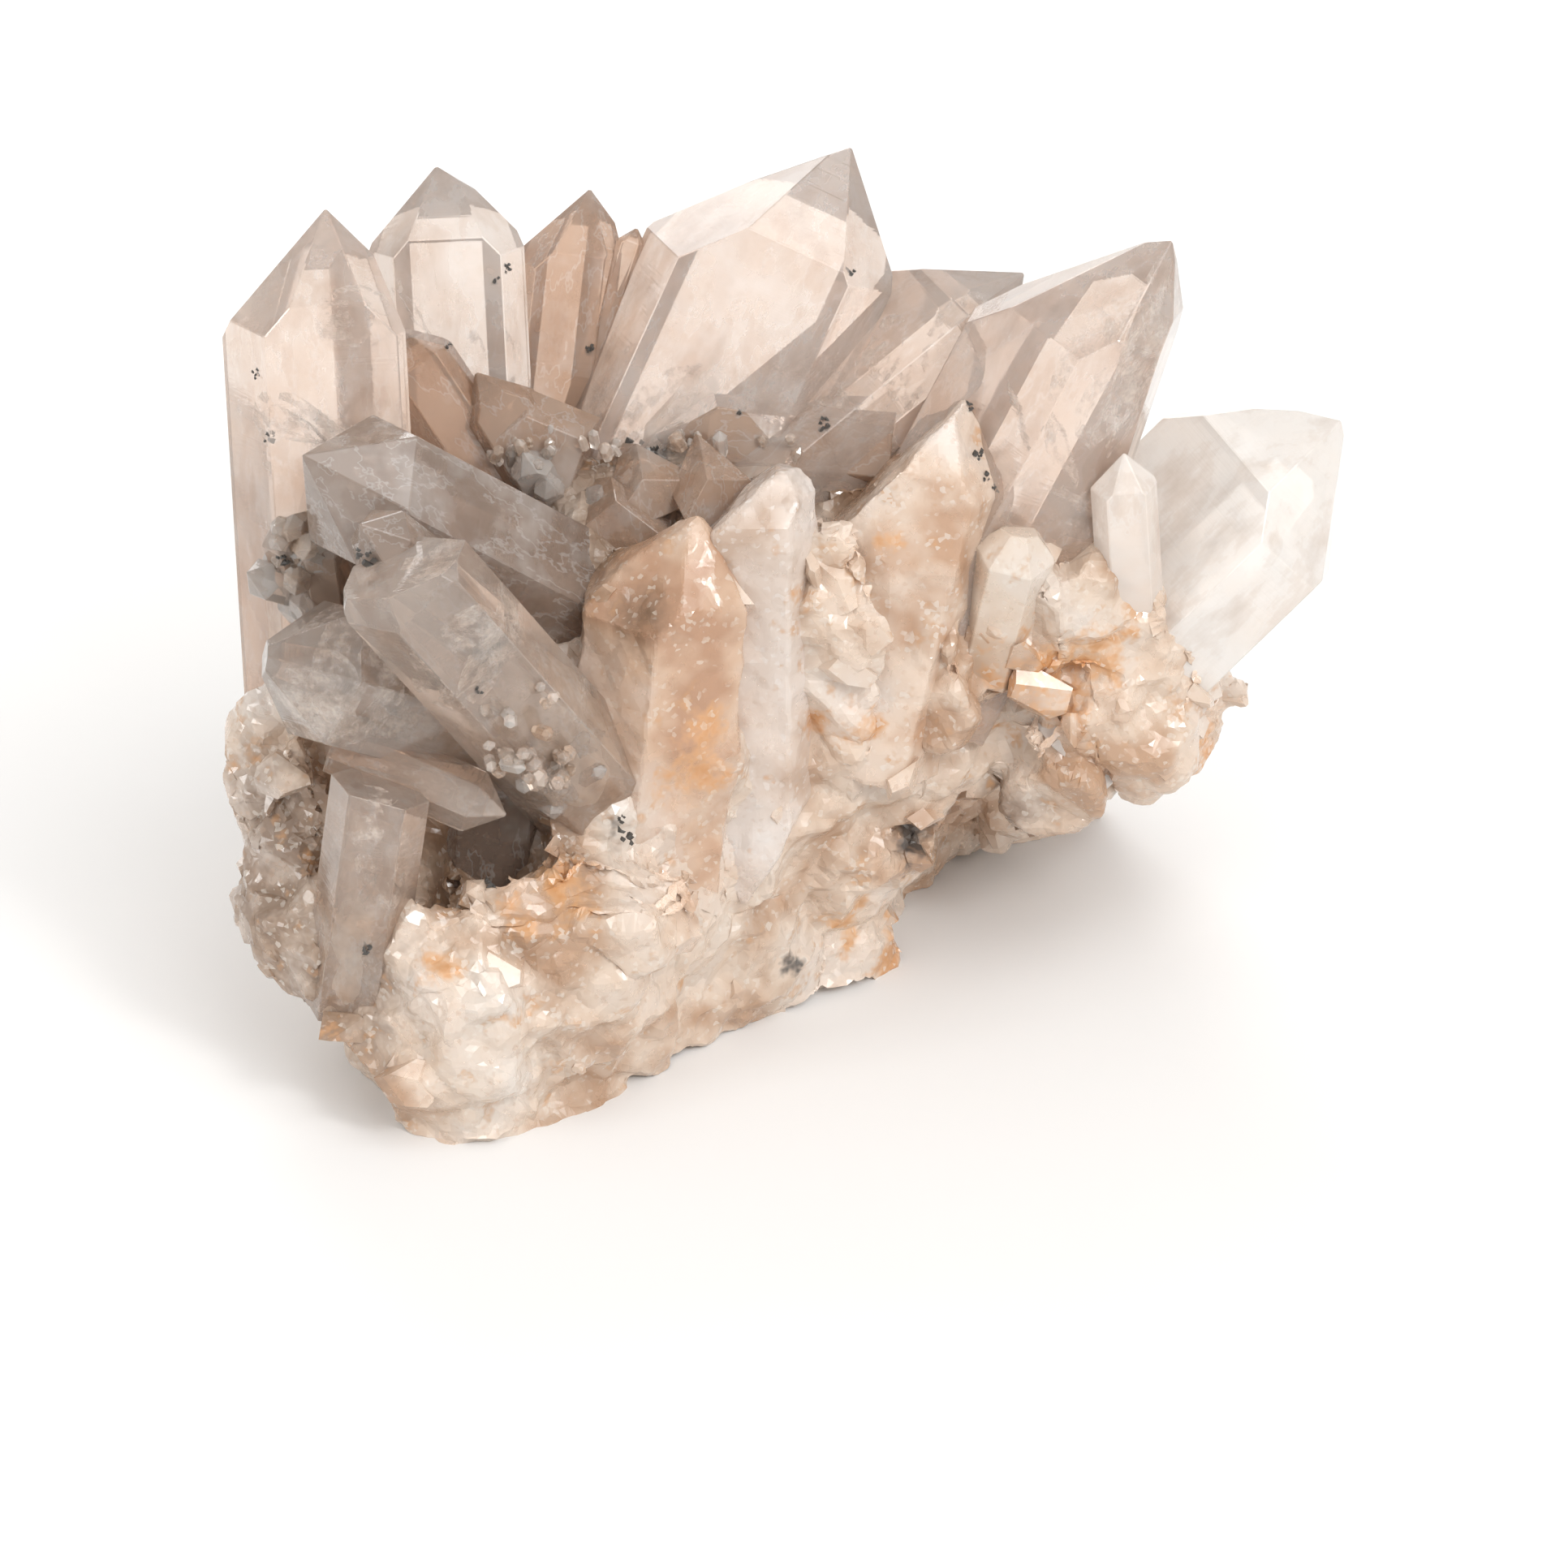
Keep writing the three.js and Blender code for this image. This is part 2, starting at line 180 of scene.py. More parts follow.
# Outlines of the base, seen from above, from its foot to the floor of the hollow on top: along the
# front from the left, up the right, along the back and down the left.
BASE_LEVELS = {
    -6: [(-112, -105), (-82, -92), (-52, -66), (-22, -26), (12, -6), (39, 20), (46, 76), (88, 122),
         (122, 132), (60, 150), (-40, 142), (-112, 96), (-140, 0), (-130, -80)],
    30: [(-113, -110), (-80, -98), (-50, -72), (-18, -32), (20, -8), (42, 14), (52, 66), (94, 92),
         (130, 118), (62, 154), (-44, 148), (-126, 98), (-164, -6), (-164, -78)],
    60: [(-114, -108), (-78, -100), (-48, -78), (-16, -38), (24, -14), (54, 8), (72, 36), (110, 62),
         (146, 92), (66, 152), (-46, 146), (-134, 94), (-184, -12), (-188, -62)],
    88: [(-116, -92), (-78, -94), (-50, -74), (-14, -35), (28, -14), (66, 2), (98, 14), (138, 40),
         (152, 70), (70, 144), (-48, 140), (-134, 88), (-188, -12), (-192, -54)],
    112: [(-118, -54), (-80, -60), (-50, -58), (-14, -30), (28, -12), (66, 0), (104, 10), (146, 32),
          (150, 62), (68, 126), (-48, 124), (-128, 80), (-186, -12), (-191, -48)],
    140: [(-110, -32), (-78, -36), (-46, -36), (-12, -22), (30, -6), (66, 6), (98, 14), (126, 34),
          (122, 62), (60, 100), (-46, 100), (-118, 68), (-168, 0), (-176, -30)],
    170: [(-90, -10), (-68, -12), (-40, -12), (-10, -6), (26, 8), (56, 16), (80, 24), (94, 42),
          (84, 62), (44, 84), (-42, 84), (-100, 60), (-142, 20), (-122, -8)],
    194: [(-80, 12), (-62, 10), (-38, 10), (-12, 14), (16, 22), (36, 28), (50, 36), (56, 50),
          (46, 64), (20, 72), (-40, 72), (-78, 56), (-100, 32), (-92, 14)],
}
STEPS_PER_PLACE = 3
STEPS_PER_LEVEL = 2


def smooth_outline(places, height):
    """A closed smooth curve through the places, as points at that height."""
    points = [Vector((x, y, height)) for x, y in places]
    curve = []
    for i in range(len(points)):
        a, b, c, d = (points[(i + k - 1) % len(points)] for k in range(4))
        for step in range(STEPS_PER_PLACE):
            t = step / STEPS_PER_PLACE
            bend = (2 * a - 5 * b + 4 * c - d) * t * t + (3 * b - a - 3 * c + d) * t**3
            curve.append(b + ((c - a) * t + bend) / 2)
    return curve


outlines = [smooth_outline(places, height) for height, places in BASE_LEVELS.items()]
rings = [outlines[0]]
for lower, upper in zip(outlines, outlines[1:]):
    for step in range(1, STEPS_PER_LEVEL + 1):
        rings.append([a.lerp(b, step / STEPS_PER_LEVEL) for a, b in zip(lower, upper)])

bpy.ops.mesh.primitive_circle_add(vertices=len(rings[0]), radius=100 * MM)
base_rock = bpy.context.object
base_rock.name = "base_rock"
for vertex, place in zip(base_rock.data.vertices, rings[0]):
    vertex.co = at(place)
bpy.ops.object.mode_set(mode="EDIT")
bpy.ops.mesh.select_all(action="SELECT")
for ring, following in zip(rings, rings[1:]):
    bpy.ops.mesh.extrude_region_move()
    shape = bmesh.from_edit_mesh(base_rock.data)
    for vertex in shape.verts:
        if vertex.select:
            nearest = min(range(len(ring)), key=lambda i: (at(ring[i]) - vertex.co).length_squared)
            vertex.co = at(following[nearest])
    bmesh.update_edit_mesh(base_rock.data)
bpy.ops.mesh.select_all(action="SELECT")
bpy.ops.mesh.fill_holes(sides=0)
bpy.ops.mesh.select_all(action="SELECT")
bpy.ops.mesh.normals_make_consistent(inside=False)
bpy.ops.object.mode_set(mode="OBJECT")


def spread_directions(count, seed):
    """Directions spread evenly over a ball, each nudged a little."""
    golden_turn = math.pi * (3 - math.sqrt(5))
    found = []
    for i in range(count):
        height = 1 - 2 * (i + 0.5) / count + 0.25 * (chance(i, seed) - 0.5)
        across = math.sqrt(max(0, 1 - height * height))
        turn = golden_turn * i + 1.2 * chance(i, seed + 0.5)
        found.append(Vector((across * math.cos(turn), across * math.sin(turn), height)).normalized())
    return found


def cut_solid(name, middle, reach, planes):
    """A cube, cut down by planes. Each plane is a place on it and its outward direction, in metres."""
    bpy.ops.object.select_all(action="DESELECT")
    bpy.ops.mesh.primitive_cube_add(size=2 * reach, location=middle)
    solid = bpy.context.object
    solid.name = name
    bpy.ops.object.transform_apply(location=True, rotation=True, scale=True)
    bpy.ops.object.mode_set(mode="EDIT")
    for place, outward in planes:
        bpy.ops.mesh.select_all(action="SELECT")
        bpy.ops.mesh.bisect(plane_co=place, plane_no=outward, use_fill=True, clear_outer=True)
    bpy.ops.mesh.select_all(action="SELECT")
    bpy.ops.mesh.normals_make_consistent(inside=False)
    bpy.ops.object.mode_set(mode="OBJECT")
    return solid


def broken_block(name, middle, half, seed, chips=22):
    """A broken block with flat chipped faces, about as large as an ellipsoid of those half sizes."""
    centre = at(middle)
    planes = []
    for i, way in enumerate(spread_directions(chips, seed)):
        out = Vector((way.x, -way.y, way.z))
        size = Vector((way.x * half[0], way.y * half[1], way.z * half[2])).length
        planes.append((centre + out * size * (0.8 + 0.2 * chance(i, seed + 7)) * MM, out))
    return cut_solid(name, centre, 2 * max(half) * MM, planes)


# Lumps and slabs that stand out of the base: middle, half sizes and the seed of their chips.
BLOCKS = {
    "near_slab": ((-108, -92, 50), (18, 16, 26), 6),
    "pale_shelf": ((-62, -74, 80), (40, 20, 22), 7),
    "left_wall_top": ((-170, -44, 104), (16, 18, 32), 12),
    "left_skirt": ((-140, -78, 36), (22, 20, 22), 15),
    "right_root": ((98, 20, 90), (28, 26, 30), 44),
    "right_lump": ((112, 13, 152), (25, 18, 32), 40),
    "right_mass": ((112, 22, 120), (30, 18, 40), 45),
    "right_bridge": ((136, 36, 92), (22, 18, 20), 46),
    "right_cover": ((128, 16, 114), (24, 18, 38), 49),
    "wall_seam": ((16, -8, 154), (16, 16, 54), 47),
    "wall_seam_left": ((-28, -20, 156), (11, 14, 42), 50),
    "wall_right": ((86, 5, 146), (22, 14, 36), 48),
    "right_gap": ((114, 8, 112), (22, 16, 22), 52),
    "right_low_cover": ((97, 4, 107), (16, 13, 16), 54),
    "right_peach": ((142, 47, 82), (20, 20, 20), 41),
    "right_stub": ((155, 44, 102), (11, 12, 16), 42),
    "arch_lump": ((88, 88, 38), (22, 24, 28), 43),
    "wall_low": ((54, 4, 134), (22, 18, 34), 30),
    "hollow_left": ((-80, 28, 194), (24, 14, 12), 23),
    "hollow_middle": ((-45, 26, 194), (26, 16, 12), 24),
}
# Broken-out places in the base, measured the same way.
HOLLOWS = {
    "left_cave": ((-134, -64, 98), (30, 22, 32), 51),
    "inner_cave": ((-108, -66, 100), (28, 18, 34), 53),
    "small_cave": ((46, 0, 62), (13, 12, 12), 52),
}


def select_only(*pieces):
    """Selects these pieces alone, with the first one active."""
    bpy.ops.object.select_all(action="DESELECT")
    for piece in pieces:
        piece.select_set(True)
    bpy.context.view_layer.objects.active = pieces[0]


def modify(piece, kind, **settings):
    """Adds one modifier to the piece, sets it up and applies it."""
    select_only(piece)
    bpy.ops.object.modifier_add(type=kind)
    modifier = piece.modifiers[-1]
    for name, value in settings.items():
        setattr(modifier, name, value)
    bpy.ops.object.modifier_apply(modifier=modifier.name)


hollows = [broken_block(name, *block) for name, block in HOLLOWS.items()]
for hollow in hollows:
    modify(base_rock, "BOOLEAN", operation="DIFFERENCE", solver="EXACT", object=hollow)
    bpy.data.objects.remove(hollow)
blocks = [broken_block(name, *block) for name, block in BLOCKS.items()]
select_only(base_rock, *blocks)
bpy.ops.object.join()


def chip_texture(name, kind, size, **settings):
    """One of Blender's own patterns, with features of about that size in metres, for Displace."""
    made = bpy.data.textures.new(name, kind)
    made.noise_scale = size
    for key, value in settings.items():
        setattr(made, key, value)
    return made


# The rock breaks into angular lumps with creases between them, each lump into flat chips, and the
# chips into smaller ones. The patterns are turned by this slant, so that no face is level or upright.
lumps = chip_texture("lumps", "VORONOI", 0.05, distance_metric="MANHATTAN")
chips = chip_texture("chips", "VORONOI", 0.024, distance_metric="MANHATTAN")
small_chips = chip_texture("small chips", "VORONOI", 0.009, distance_metric="MANHATTAN")
bpy.ops.object.empty_add(rotation=(0.5, 0.8, 0.35))
slant = bpy.context.object


def stand_flat(piece):
    """Cuts off what is under the floor and closes the cut."""
    select_only(piece)
    bpy.ops.object.mode_set(mode="EDIT")
    bpy.ops.mesh.select_all(action="SELECT")
    bpy.ops.mesh.bisect(plane_co=(0, 0, 0), plane_no=(0, 0, 1), use_fill=True, clear_inner=True,
                        threshold=1e-6)
    bpy.ops.object.mode_set(mode="OBJECT")


# A point this close to the floor is on it, and chips beside the sole stay this far above it.
ON_THE_FLOOR = 1e-7
# Only the sole has more corners than a quad.
SOLE_CORNERS = 5
LOWEST_CHIP = 0.2 * MM


def roughen(piece, voxel, keep, patterns):
    """Joins a piece into one skin, breaks its surface into flat chips and thins out its mesh."""
    modify(piece, "REMESH", mode="VOXEL", voxel_size=voxel)
    stand_flat(piece)
    sole = {vertex.index for vertex in piece.data.vertices if abs(vertex.co.z) < ON_THE_FLOOR}
    for texture, depth in patterns:
        modify(piece, "DISPLACE", texture=texture, strength=depth, mid_level=0.5,
               texture_coords="OBJECT", texture_coords_object=slant)
    for vertex in piece.data.vertices:
        vertex.co.z = 0 if vertex.index in sole else max(vertex.co.z, LOWEST_CHIP)
    modify(piece, "DECIMATE", ratio=keep)
    modify(piece, "TRIANGULATE", min_vertices=SOLE_CORNERS)
    for vertex in piece.data.vertices:
        vertex.co.z = max(vertex.co.z, 0)


# Voxel size and depths in metres.
roughen(base_rock, 0.0015, 0.42, ((lumps, -0.012), (chips, 0.0065), (small_chips, -0.0014)))


def press_inside(piece, planes, margin):
    """Moves what stands out of the planes back in, to that margin from them."""
    for vertex in piece.data.vertices:
        for place, outward in planes:
            over = (vertex.co - place).dot(outward) + margin
            if over > 0:
                vertex.co -= outward * over


BOX_SIDES = [(Vector(cad_box[high]), Vector(way)) for high, way in
             ((0, (-1, 0, 0)), (1, (1, 0, 0)), (0, (0, -1, 0)), (1, (0, 1, 0)))]
press_inside(base_rock, BOX_SIDES, 0.3 * MM)

# Where iron has stained it orange, where it is broken to white sugar, where it is brown and darkened with
# painted
# shade, and where dark grains sit in it: the middle of each place and how far it reaches, in millimetres.
ORANGE = [((92, 8, 132), 22), ((104, 6, 138), 18), ((38, -7, 190), 6), ((-33, -46, 121), 13),
          ((-27, -43, 133), 9), ((-78, -87, 95), 14), ((-89, -92, 93), 12), ((38, 19, 8), 12),
          ((27, -4, 27), 12), ((145, 31, 88), 16), ((15, -14, 124), 9), ((27, -15, 127), 9),
          ((-165, -88, 30), 14), ((-120, -100, 70), 8), ((40, 120, 60), 24), ((-120, 80, 70), 22)]
WHITE = [((-57, -65, 104), 18), ((-19, -35, 112), 22), ((-106, -105, 63), 16), ((-93, -104, 25), 30),
         ((-20, -30, 60), 18), ((60, 0, 120), 12), ((-90, 24, 204), 16), ((-76, 25, 204), 18)]
# The brown places are partly real brown and partly painted shade: in the hollow on top, in the caves and low
# on the left side.
BROWN_AND_PAINTED_SHADE = [((-170, -88, 40), 34), ((-180, -60, 70), 30), ((-75, 22, 206), 26), ((-20, 25, 206), 34),
         ((20, 28, 208), 26), ((-60, 0, 186), 22), ((-107, -51, 86), 40), ((81, 8, 71), 14),
         ((-50, -44, 179), 10), ((-178, -60, 100), 26), ((-150, -92, 60), 16)]
DARK = [((-57, -65, 104), 7), ((1, -17, 23), 9), ((-52, 33, 204), 9), ((-45, 26, 205), 9),
        ((46, 4, 62), 14), ((75, 1, 112), 5), ((-2, -39, 73), 5), ((81, 8, 71), 5)]
# A stain or a patch of painted shade fades out at this many times its reach.
STAIN_AND_SHADE_EDGE = 1.6


def paint_stains_and_shade(piece):
    """How much orange, white and dark each place on the piece has, and how much brown and painted shade."""
    piece.data.attributes.new("stain", "FLOAT_VECTOR", "POINT")
    piece.data.attributes.new("shade", "FLOAT", "POINT")
    stain, shade = (piece.data.attributes[name] for name in ("stain", "shade"))
    for vertex in piece.data.vertices:
        shares = []
        for places in (ORANGE, WHITE, DARK, BROWN_AND_PAINTED_SHADE):
            nearest = min((vertex.co - at(place)).length / (reach * MM) for place, reach in places)
            shares.append(max(0, STAIN_AND_SHADE_EDGE - nearest))
        stain.data[vertex.index].vector = shares[:3]
        shade.data[vertex.index].value = shares[3]


paint_stains_and_shade(base_rock)


# Massive quartz breaks like glass, full of cracks. They are well under a millimetre apart, too fine to show,
# so their flashes are painted into the colour as painted glints: white flakes of this size in millimetres.
GLINT_FLAKE_SIZE = 1.7
QUARTZ_IOR = 1.544
# Massive quartz is milky and lets only some of the light in.
MILKY_TRANSMISSION = 0.36


def massive_quartz(name, dark_hex, light_hex, white_hex):
    """Milky quartz, broken: softly clouded, with brown and painted shade, and white flakes that are painted
    glints of cracks.
    """
    made, tree, shader, output = new_material(name)
    coordinate = add_node(tree, "TexCoord").outputs["Object"]
    # Clouds of 40 mm and mottles of 12 mm.
    broad = add_node(tree, "TexNoise", {"Vector": coordinate, "Scale": 24, "Detail": 3, "Roughness": 0.55})
    middling = add_node(
        tree, "TexNoise", {"Vector": coordinate, "Scale": 80, "Detail": 3, "Roughness": 0.65})
    flakes = add_node(tree, "TexVoronoi", {"Vector": coordinate, "Scale": 1 / (GLINT_FLAKE_SIZE * MM)})
    flake = add_node(tree, "SeparateXYZ", {0: flakes.outputs["Color"]})
    base = add_node(tree, "ValToRGB", {"Fac": broad.outputs["Fac"]})
    for element, place, hex_colour in zip((*base.color_ramp.elements, base.color_ramp.elements.new(0.5)),
                                          (0.38, 0.66, 0.5), (dark_hex, white_hex, light_hex)):
        element.position = place
        element.color = linear(hex_colour)
    stain = add_node(tree, "Attribute", attribute_name="stain").outputs["Vector"]
    stain = add_node(tree, "SeparateXYZ", {0: stain})
    shade = add_node(tree, "Attribute", attribute_name="shade").outputs["Fac"]

    def ragged(share, noise, weight, low, high, most):
        """How much a stain, a patch of painted shade or a painted glint covers, with a torn edge between low
        and high.
        """
        mixed = add_node(tree, "Math", {0: noise, 1: weight, 2: share}, operation="MULTIPLY_ADD")
        return add_node(tree, "MapRange", {"Value": mixed.outputs[0], 1: low, 2: high, 3: 0.0, 4: most}
                        ).outputs["Result"]

    def tinted(share, colour, hex_colour):
        """The colour with that share of another over it."""
        layers = {0: share, 6: colour, 7: linear(hex_colour)}
        return add_node(tree, "Mix", layers, data_type="RGBA").outputs[2]

    noise = middling.outputs["Fac"]
    # White sugar, brown and painted shade, iron in two strengths, then dark flakes and white flakes that are
    # painted glints, then dark grains.
    colour = tinted(
        ragged(stain.outputs[1], noise, 2.6, 1.8, 2.8, 0.45), base.outputs["Color"], white_hex)
    # Painted shade: the brown share darkens the hollow, the caves and the left side, over some brown that is
    # real.
    colour = tinted(ragged(shade, noise, 2.6, 1.5, 2.6, 0.85), colour, "8f735c")
    colour = tinted(ragged(stain.outputs[0], noise, 4.5, 2.7, 3.4, 0.85), colour, "efb987")
    colour = tinted(ragged(stain.outputs[0], noise, 4.5, 3.3, 3.9, 0.6), colour, "d99758")
    colour = tinted(ragged(noise, flake.outputs[1], 1.0, 0.6, 0.45, 0.3), colour, dark_hex)
    # Painted glints: white flakes that stand in for light flashing off cracks under the surface.
    colour = tinted(ragged(noise, flake.outputs[0], 1.0, 1.38, 1.52, 0.5), colour, white_hex)
    colour = tinted(ragged(stain.outputs[2], noise, 2.6, 2.2, 2.6, 0.9), colour, "575452")
    tree.links.new(colour, shader.inputs["Base Color"])
    gloss = add_node(tree, "MapRange", {"Value": noise, 1: 0.4, 2: 0.62, 3: 0.28, 4: 0.1})
    tree.links.new(gloss.outputs["Result"], shader.inputs["Roughness"])
    shader.inputs["IOR"].default_value = QUARTZ_IOR
    shader.inputs["Transmission Weight"].default_value = MILKY_TRANSMISSION
    return made


stained_quartz = massive_quartz("massive quartz, broken and iron stained", "cda98c", "f2dcc8", "fef5ea")
base_rock.data.materials.append(stained_quartz)
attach(base_rock, "root")
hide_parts("quartz_cluster")


# The tall points are single crystals of clear quartz, with the six flat faces of the prism and the six
# faces of the end as they grew. They are clear at the tip and milky with veils towards the root.
END_FACE_LEAN = math.radians(38.2)
SIXTH_TURN = math.pi / 3
EVEN = (0, 0, 0, 0, 0, 0)
# The open side of the cluster, where the camera is, and the way up as seen from there.
OPEN_SIDE = Vector((0, -math.cos(math.pi / 6), math.sin(math.pi / 6)))
RISE = Vector((0, math.sin(math.pi / 6), math.cos(math.pi / 6)))


def grown_quartz(name, absorbed_hex, density, transmission, pale_hex, deep_hex):
    """See-through quartz with its grown faces: glossy, faintly ribbed across, with thin milky clouds.

    It reads the piece's "growth", millimetres across and along the point, and its "look": how milky
    and how deep in colour it is.
    """
    made, tree, shader, output = new_material(name)
    growth = add_node(tree, "Attribute", attribute_name="growth").outputs["Vector"]
    look = add_node(tree, "Attribute", attribute_name="look").outputs["Vector"]
    look = add_node(tree, "SeparateXYZ", {0: look})
    # Milky clouds of 20 mm.
    clouds = add_node(tree, "TexNoise", {"Vector": growth, "Scale": 0.05, "Detail": 3, "Roughness": 0.6})
    share = add_node(tree, "Math", {0: clouds.outputs["Fac"], 1: look.outputs[0]}, operation="ADD")
    cloud = add_node(tree, "MapRange", {"Value": share.outputs[0], 1: 0.55, 2: 1.15, 3: 0.0, 4: 1.0})
    tint = add_node(tree, "Mix", {0: look.outputs[1], 6: linear(pale_hex), 7: linear(deep_hex)},
                    data_type="RGBA")
    white = add_node(tree, "Mix", {0: cloud.outputs["Result"], 6: tint.outputs[2], 7: linear("fefcf9")},
                     data_type="RGBA")
    # Dusky wisps of 14 mm, drawn out along the point, with white healed lines where they cross.
    drawn = add_node(tree, "VectorMath", {0: growth, 1: (1, 1, 0.45)}, operation="MULTIPLY")
    wisps = add_node(
        tree, "TexNoise", {"Vector": drawn.outputs[0], "Scale": 0.07, "Detail": 4, "Roughness": 0.62})
    dusk = add_node(tree, "MapRange", {"Value": wisps.outputs["Fac"], 1: 0.45, 2: 0.7, 3: 0.0, 4: 0.5})
    duller = add_node(tree, "Mix", {0: dusk.outputs["Result"], 6: white.outputs[2], 7: linear("cfbdb0")},
                      data_type="RGBA", blend_type="MULTIPLY")
    ridge = add_node(tree, "Math", {0: wisps.outputs["Fac"], 1: 0.5}, operation="SUBTRACT")
    ridge = add_node(tree, "Math", {0: ridge.outputs[0]}, operation="ABSOLUTE")
    healed = add_node(tree, "MapRange", {"Value": ridge.outputs[0], 1: 0.0, 2: 0.018, 3: 0.35, 4: 0.0})
    layers = {0: healed.outputs["Result"], 6: duller.outputs[2], 7: linear("fffefc")}
    flashing = add_node(tree, "Mix", layers, data_type="RGBA")
    tree.links.new(flashing.outputs[2], shader.inputs["Base Color"])
    frost = add_node(tree, "MapRange", {"Value": cloud.outputs["Result"], 1: 0.0, 2: 1.0, 3: 0.02, 4: 0.14})
    tree.links.new(frost.outputs["Result"], shader.inputs["Roughness"])
    shader.inputs["IOR"].default_value = QUARTZ_IOR
    shader.inputs["Transmission Weight"].default_value = transmission
    # Growth ribs across the faces. The real ones are too fine to show: these are 1.3 mm apart.
    squeezed = add_node(tree, "VectorMath", {0: growth, 1: (0.03, 0.03, 0.8)}, operation="MULTIPLY")
    ribs = add_node(tree, "TexNoise", {"Vector": squeezed.outputs[0], "Scale": 1.0, "Detail": 2})
    bump = add_node(tree, "Bump", {"Height": ribs.outputs["Fac"], "Strength": 0.12, "Distance": 0.0006})
    tree.links.new(bump.outputs["Normal"], shader.inputs["Normal"])
    absorb = add_node(tree, "VolumeAbsorption")
    absorb.inputs["Color"].default_value = linear(absorbed_hex)
    absorb.inputs["Density"].default_value = density
    tree.links.new(absorb.outputs["Volume"], output.inputs["Volume"])
    return made


# Each kind by its absorption colour and density, its transmission, and its colour at the tip and at the
# root. Clear ones show what is behind them, tinted ones glow peach, and half milky ones look like ice.
clear_quartz = grown_quartz("rock crystal, grown clear", "dcb294", 4.5, 0.72, "fcf4ec", "eacfba")
peach_quartz = grown_quartz("quartz, clear with an iron tint", "cf9d7a", 6.0, 0.66, "f8ece2", "dfc0a8")
dark_quartz = grown_quartz("quartz, smoky and cloudy", "a58a78", 7.0, 0.62, "cbb8aa", "a08a7b")
smoky_quartz = grown_quartz("quartz, clear and faintly smoky", "cfa98a", 5.0, 0.74, "f7ebe0", "dcc1ab")
sugar_quartz = grown_quartz("quartz druse, clear grains", "dcb697", 8.0, 0.7, "ecd6c1", "dcbfa5")
milky_quartz = grown_quartz("quartz, half milky", "e2c3aa", 1.5, 0.42, "fffaf4", "f9eade")


def cross_frame(root, tip, roll):
    """The long axis from root to tip, the direction across it that faces the open side, and the third."""
    along = (tip - root).normalized()
    facing = (OPEN_SIDE - along * OPEN_SIDE.dot(along)).normalized()
    facing = Matrix.Rotation(math.radians(roll), 3, along) @ facing
    return along, facing, along.cross(facing)


def point_planes(root, tip, sides, roll=0, caps=EVEN, cuts=()):
    """The planes round one quartz point, each a place on it and its outward direction.

    The six sides are given by how far each lies from the axis, the six caps by how far each end face
    is set back from the tip. A cut is a broken face: right, up, towards the open side, and its depth.
    """
    foot, top = at(root), at(tip)
    along, facing, beside = cross_frame(foot, top, roll)
    planes = [(foot, -along)]
    for i, side in enumerate(sides):
        out = facing * math.cos(i * SIXTH_TURN) + beside * math.sin(i * SIXTH_TURN)
        planes.append((top + out * side * MM, out))
        end = out * math.cos(END_FACE_LEAN) + along * math.sin(END_FACE_LEAN)
        planes.append((top - along * caps[i] * MM, end))
    for right, up, towards, back in cuts:
        out = (Vector((right, 0, 0)) + RISE * up + OPEN_SIDE * towards).normalized()
        planes.append((top - out * back * MM, out))
    return planes


# Where a point stands shifts its pattern by this much, so that no two points show the same clouds.
PATTERN_SHIFT = 7
SHARP_EDGE = math.radians(12)


def quartz_point(name, root, tip, sides, roll=0, caps=EVEN, cuts=(), look=(0.2, 0.3), worn=0.35,
                 rooted=0.8):
    """One quartz point with slightly worn edges, its growth directions and its own look.

    The look is how milky the point is and how deep its colour is at the tip. The colour gets deeper
    towards the root by the share that rooted gives. Worn is the width of its edges in millimetres.
    """
    planes = point_planes(root, tip, sides, roll, caps, cuts)
    foot, top = at(root), at(tip)
    reach = (top - foot).length + 2 * max(sides) * MM
    point = cut_solid(name, (foot + top) / 2, reach, planes)
    modify(point, "BEVEL", width=worn * MM, segments=1, limit_method="ANGLE", angle_limit=SHARP_EDGE)
    along, facing, beside = cross_frame(foot, top, roll)
    point.data.attributes.new("growth", "FLOAT_VECTOR", "POINT")
    point.data.attributes.new("look", "FLOAT_VECTOR", "POINT")
    growth, character = (point.data.attributes[name] for name in ("growth", "look"))
    for vertex in point.data.vertices:
        away = (vertex.co - top) / MM
        grown = away.dot(along) + PATTERN_SHIFT * top.x / MM
        growth.data[vertex.index].vector = (away.dot(beside), away.dot(facing), grown)
        below = -away.dot(along) / ((top - foot).length / MM)
        character.data[vertex.index].vector = (look[0], min(1, look[1] + rooted * below), 0)
    return point


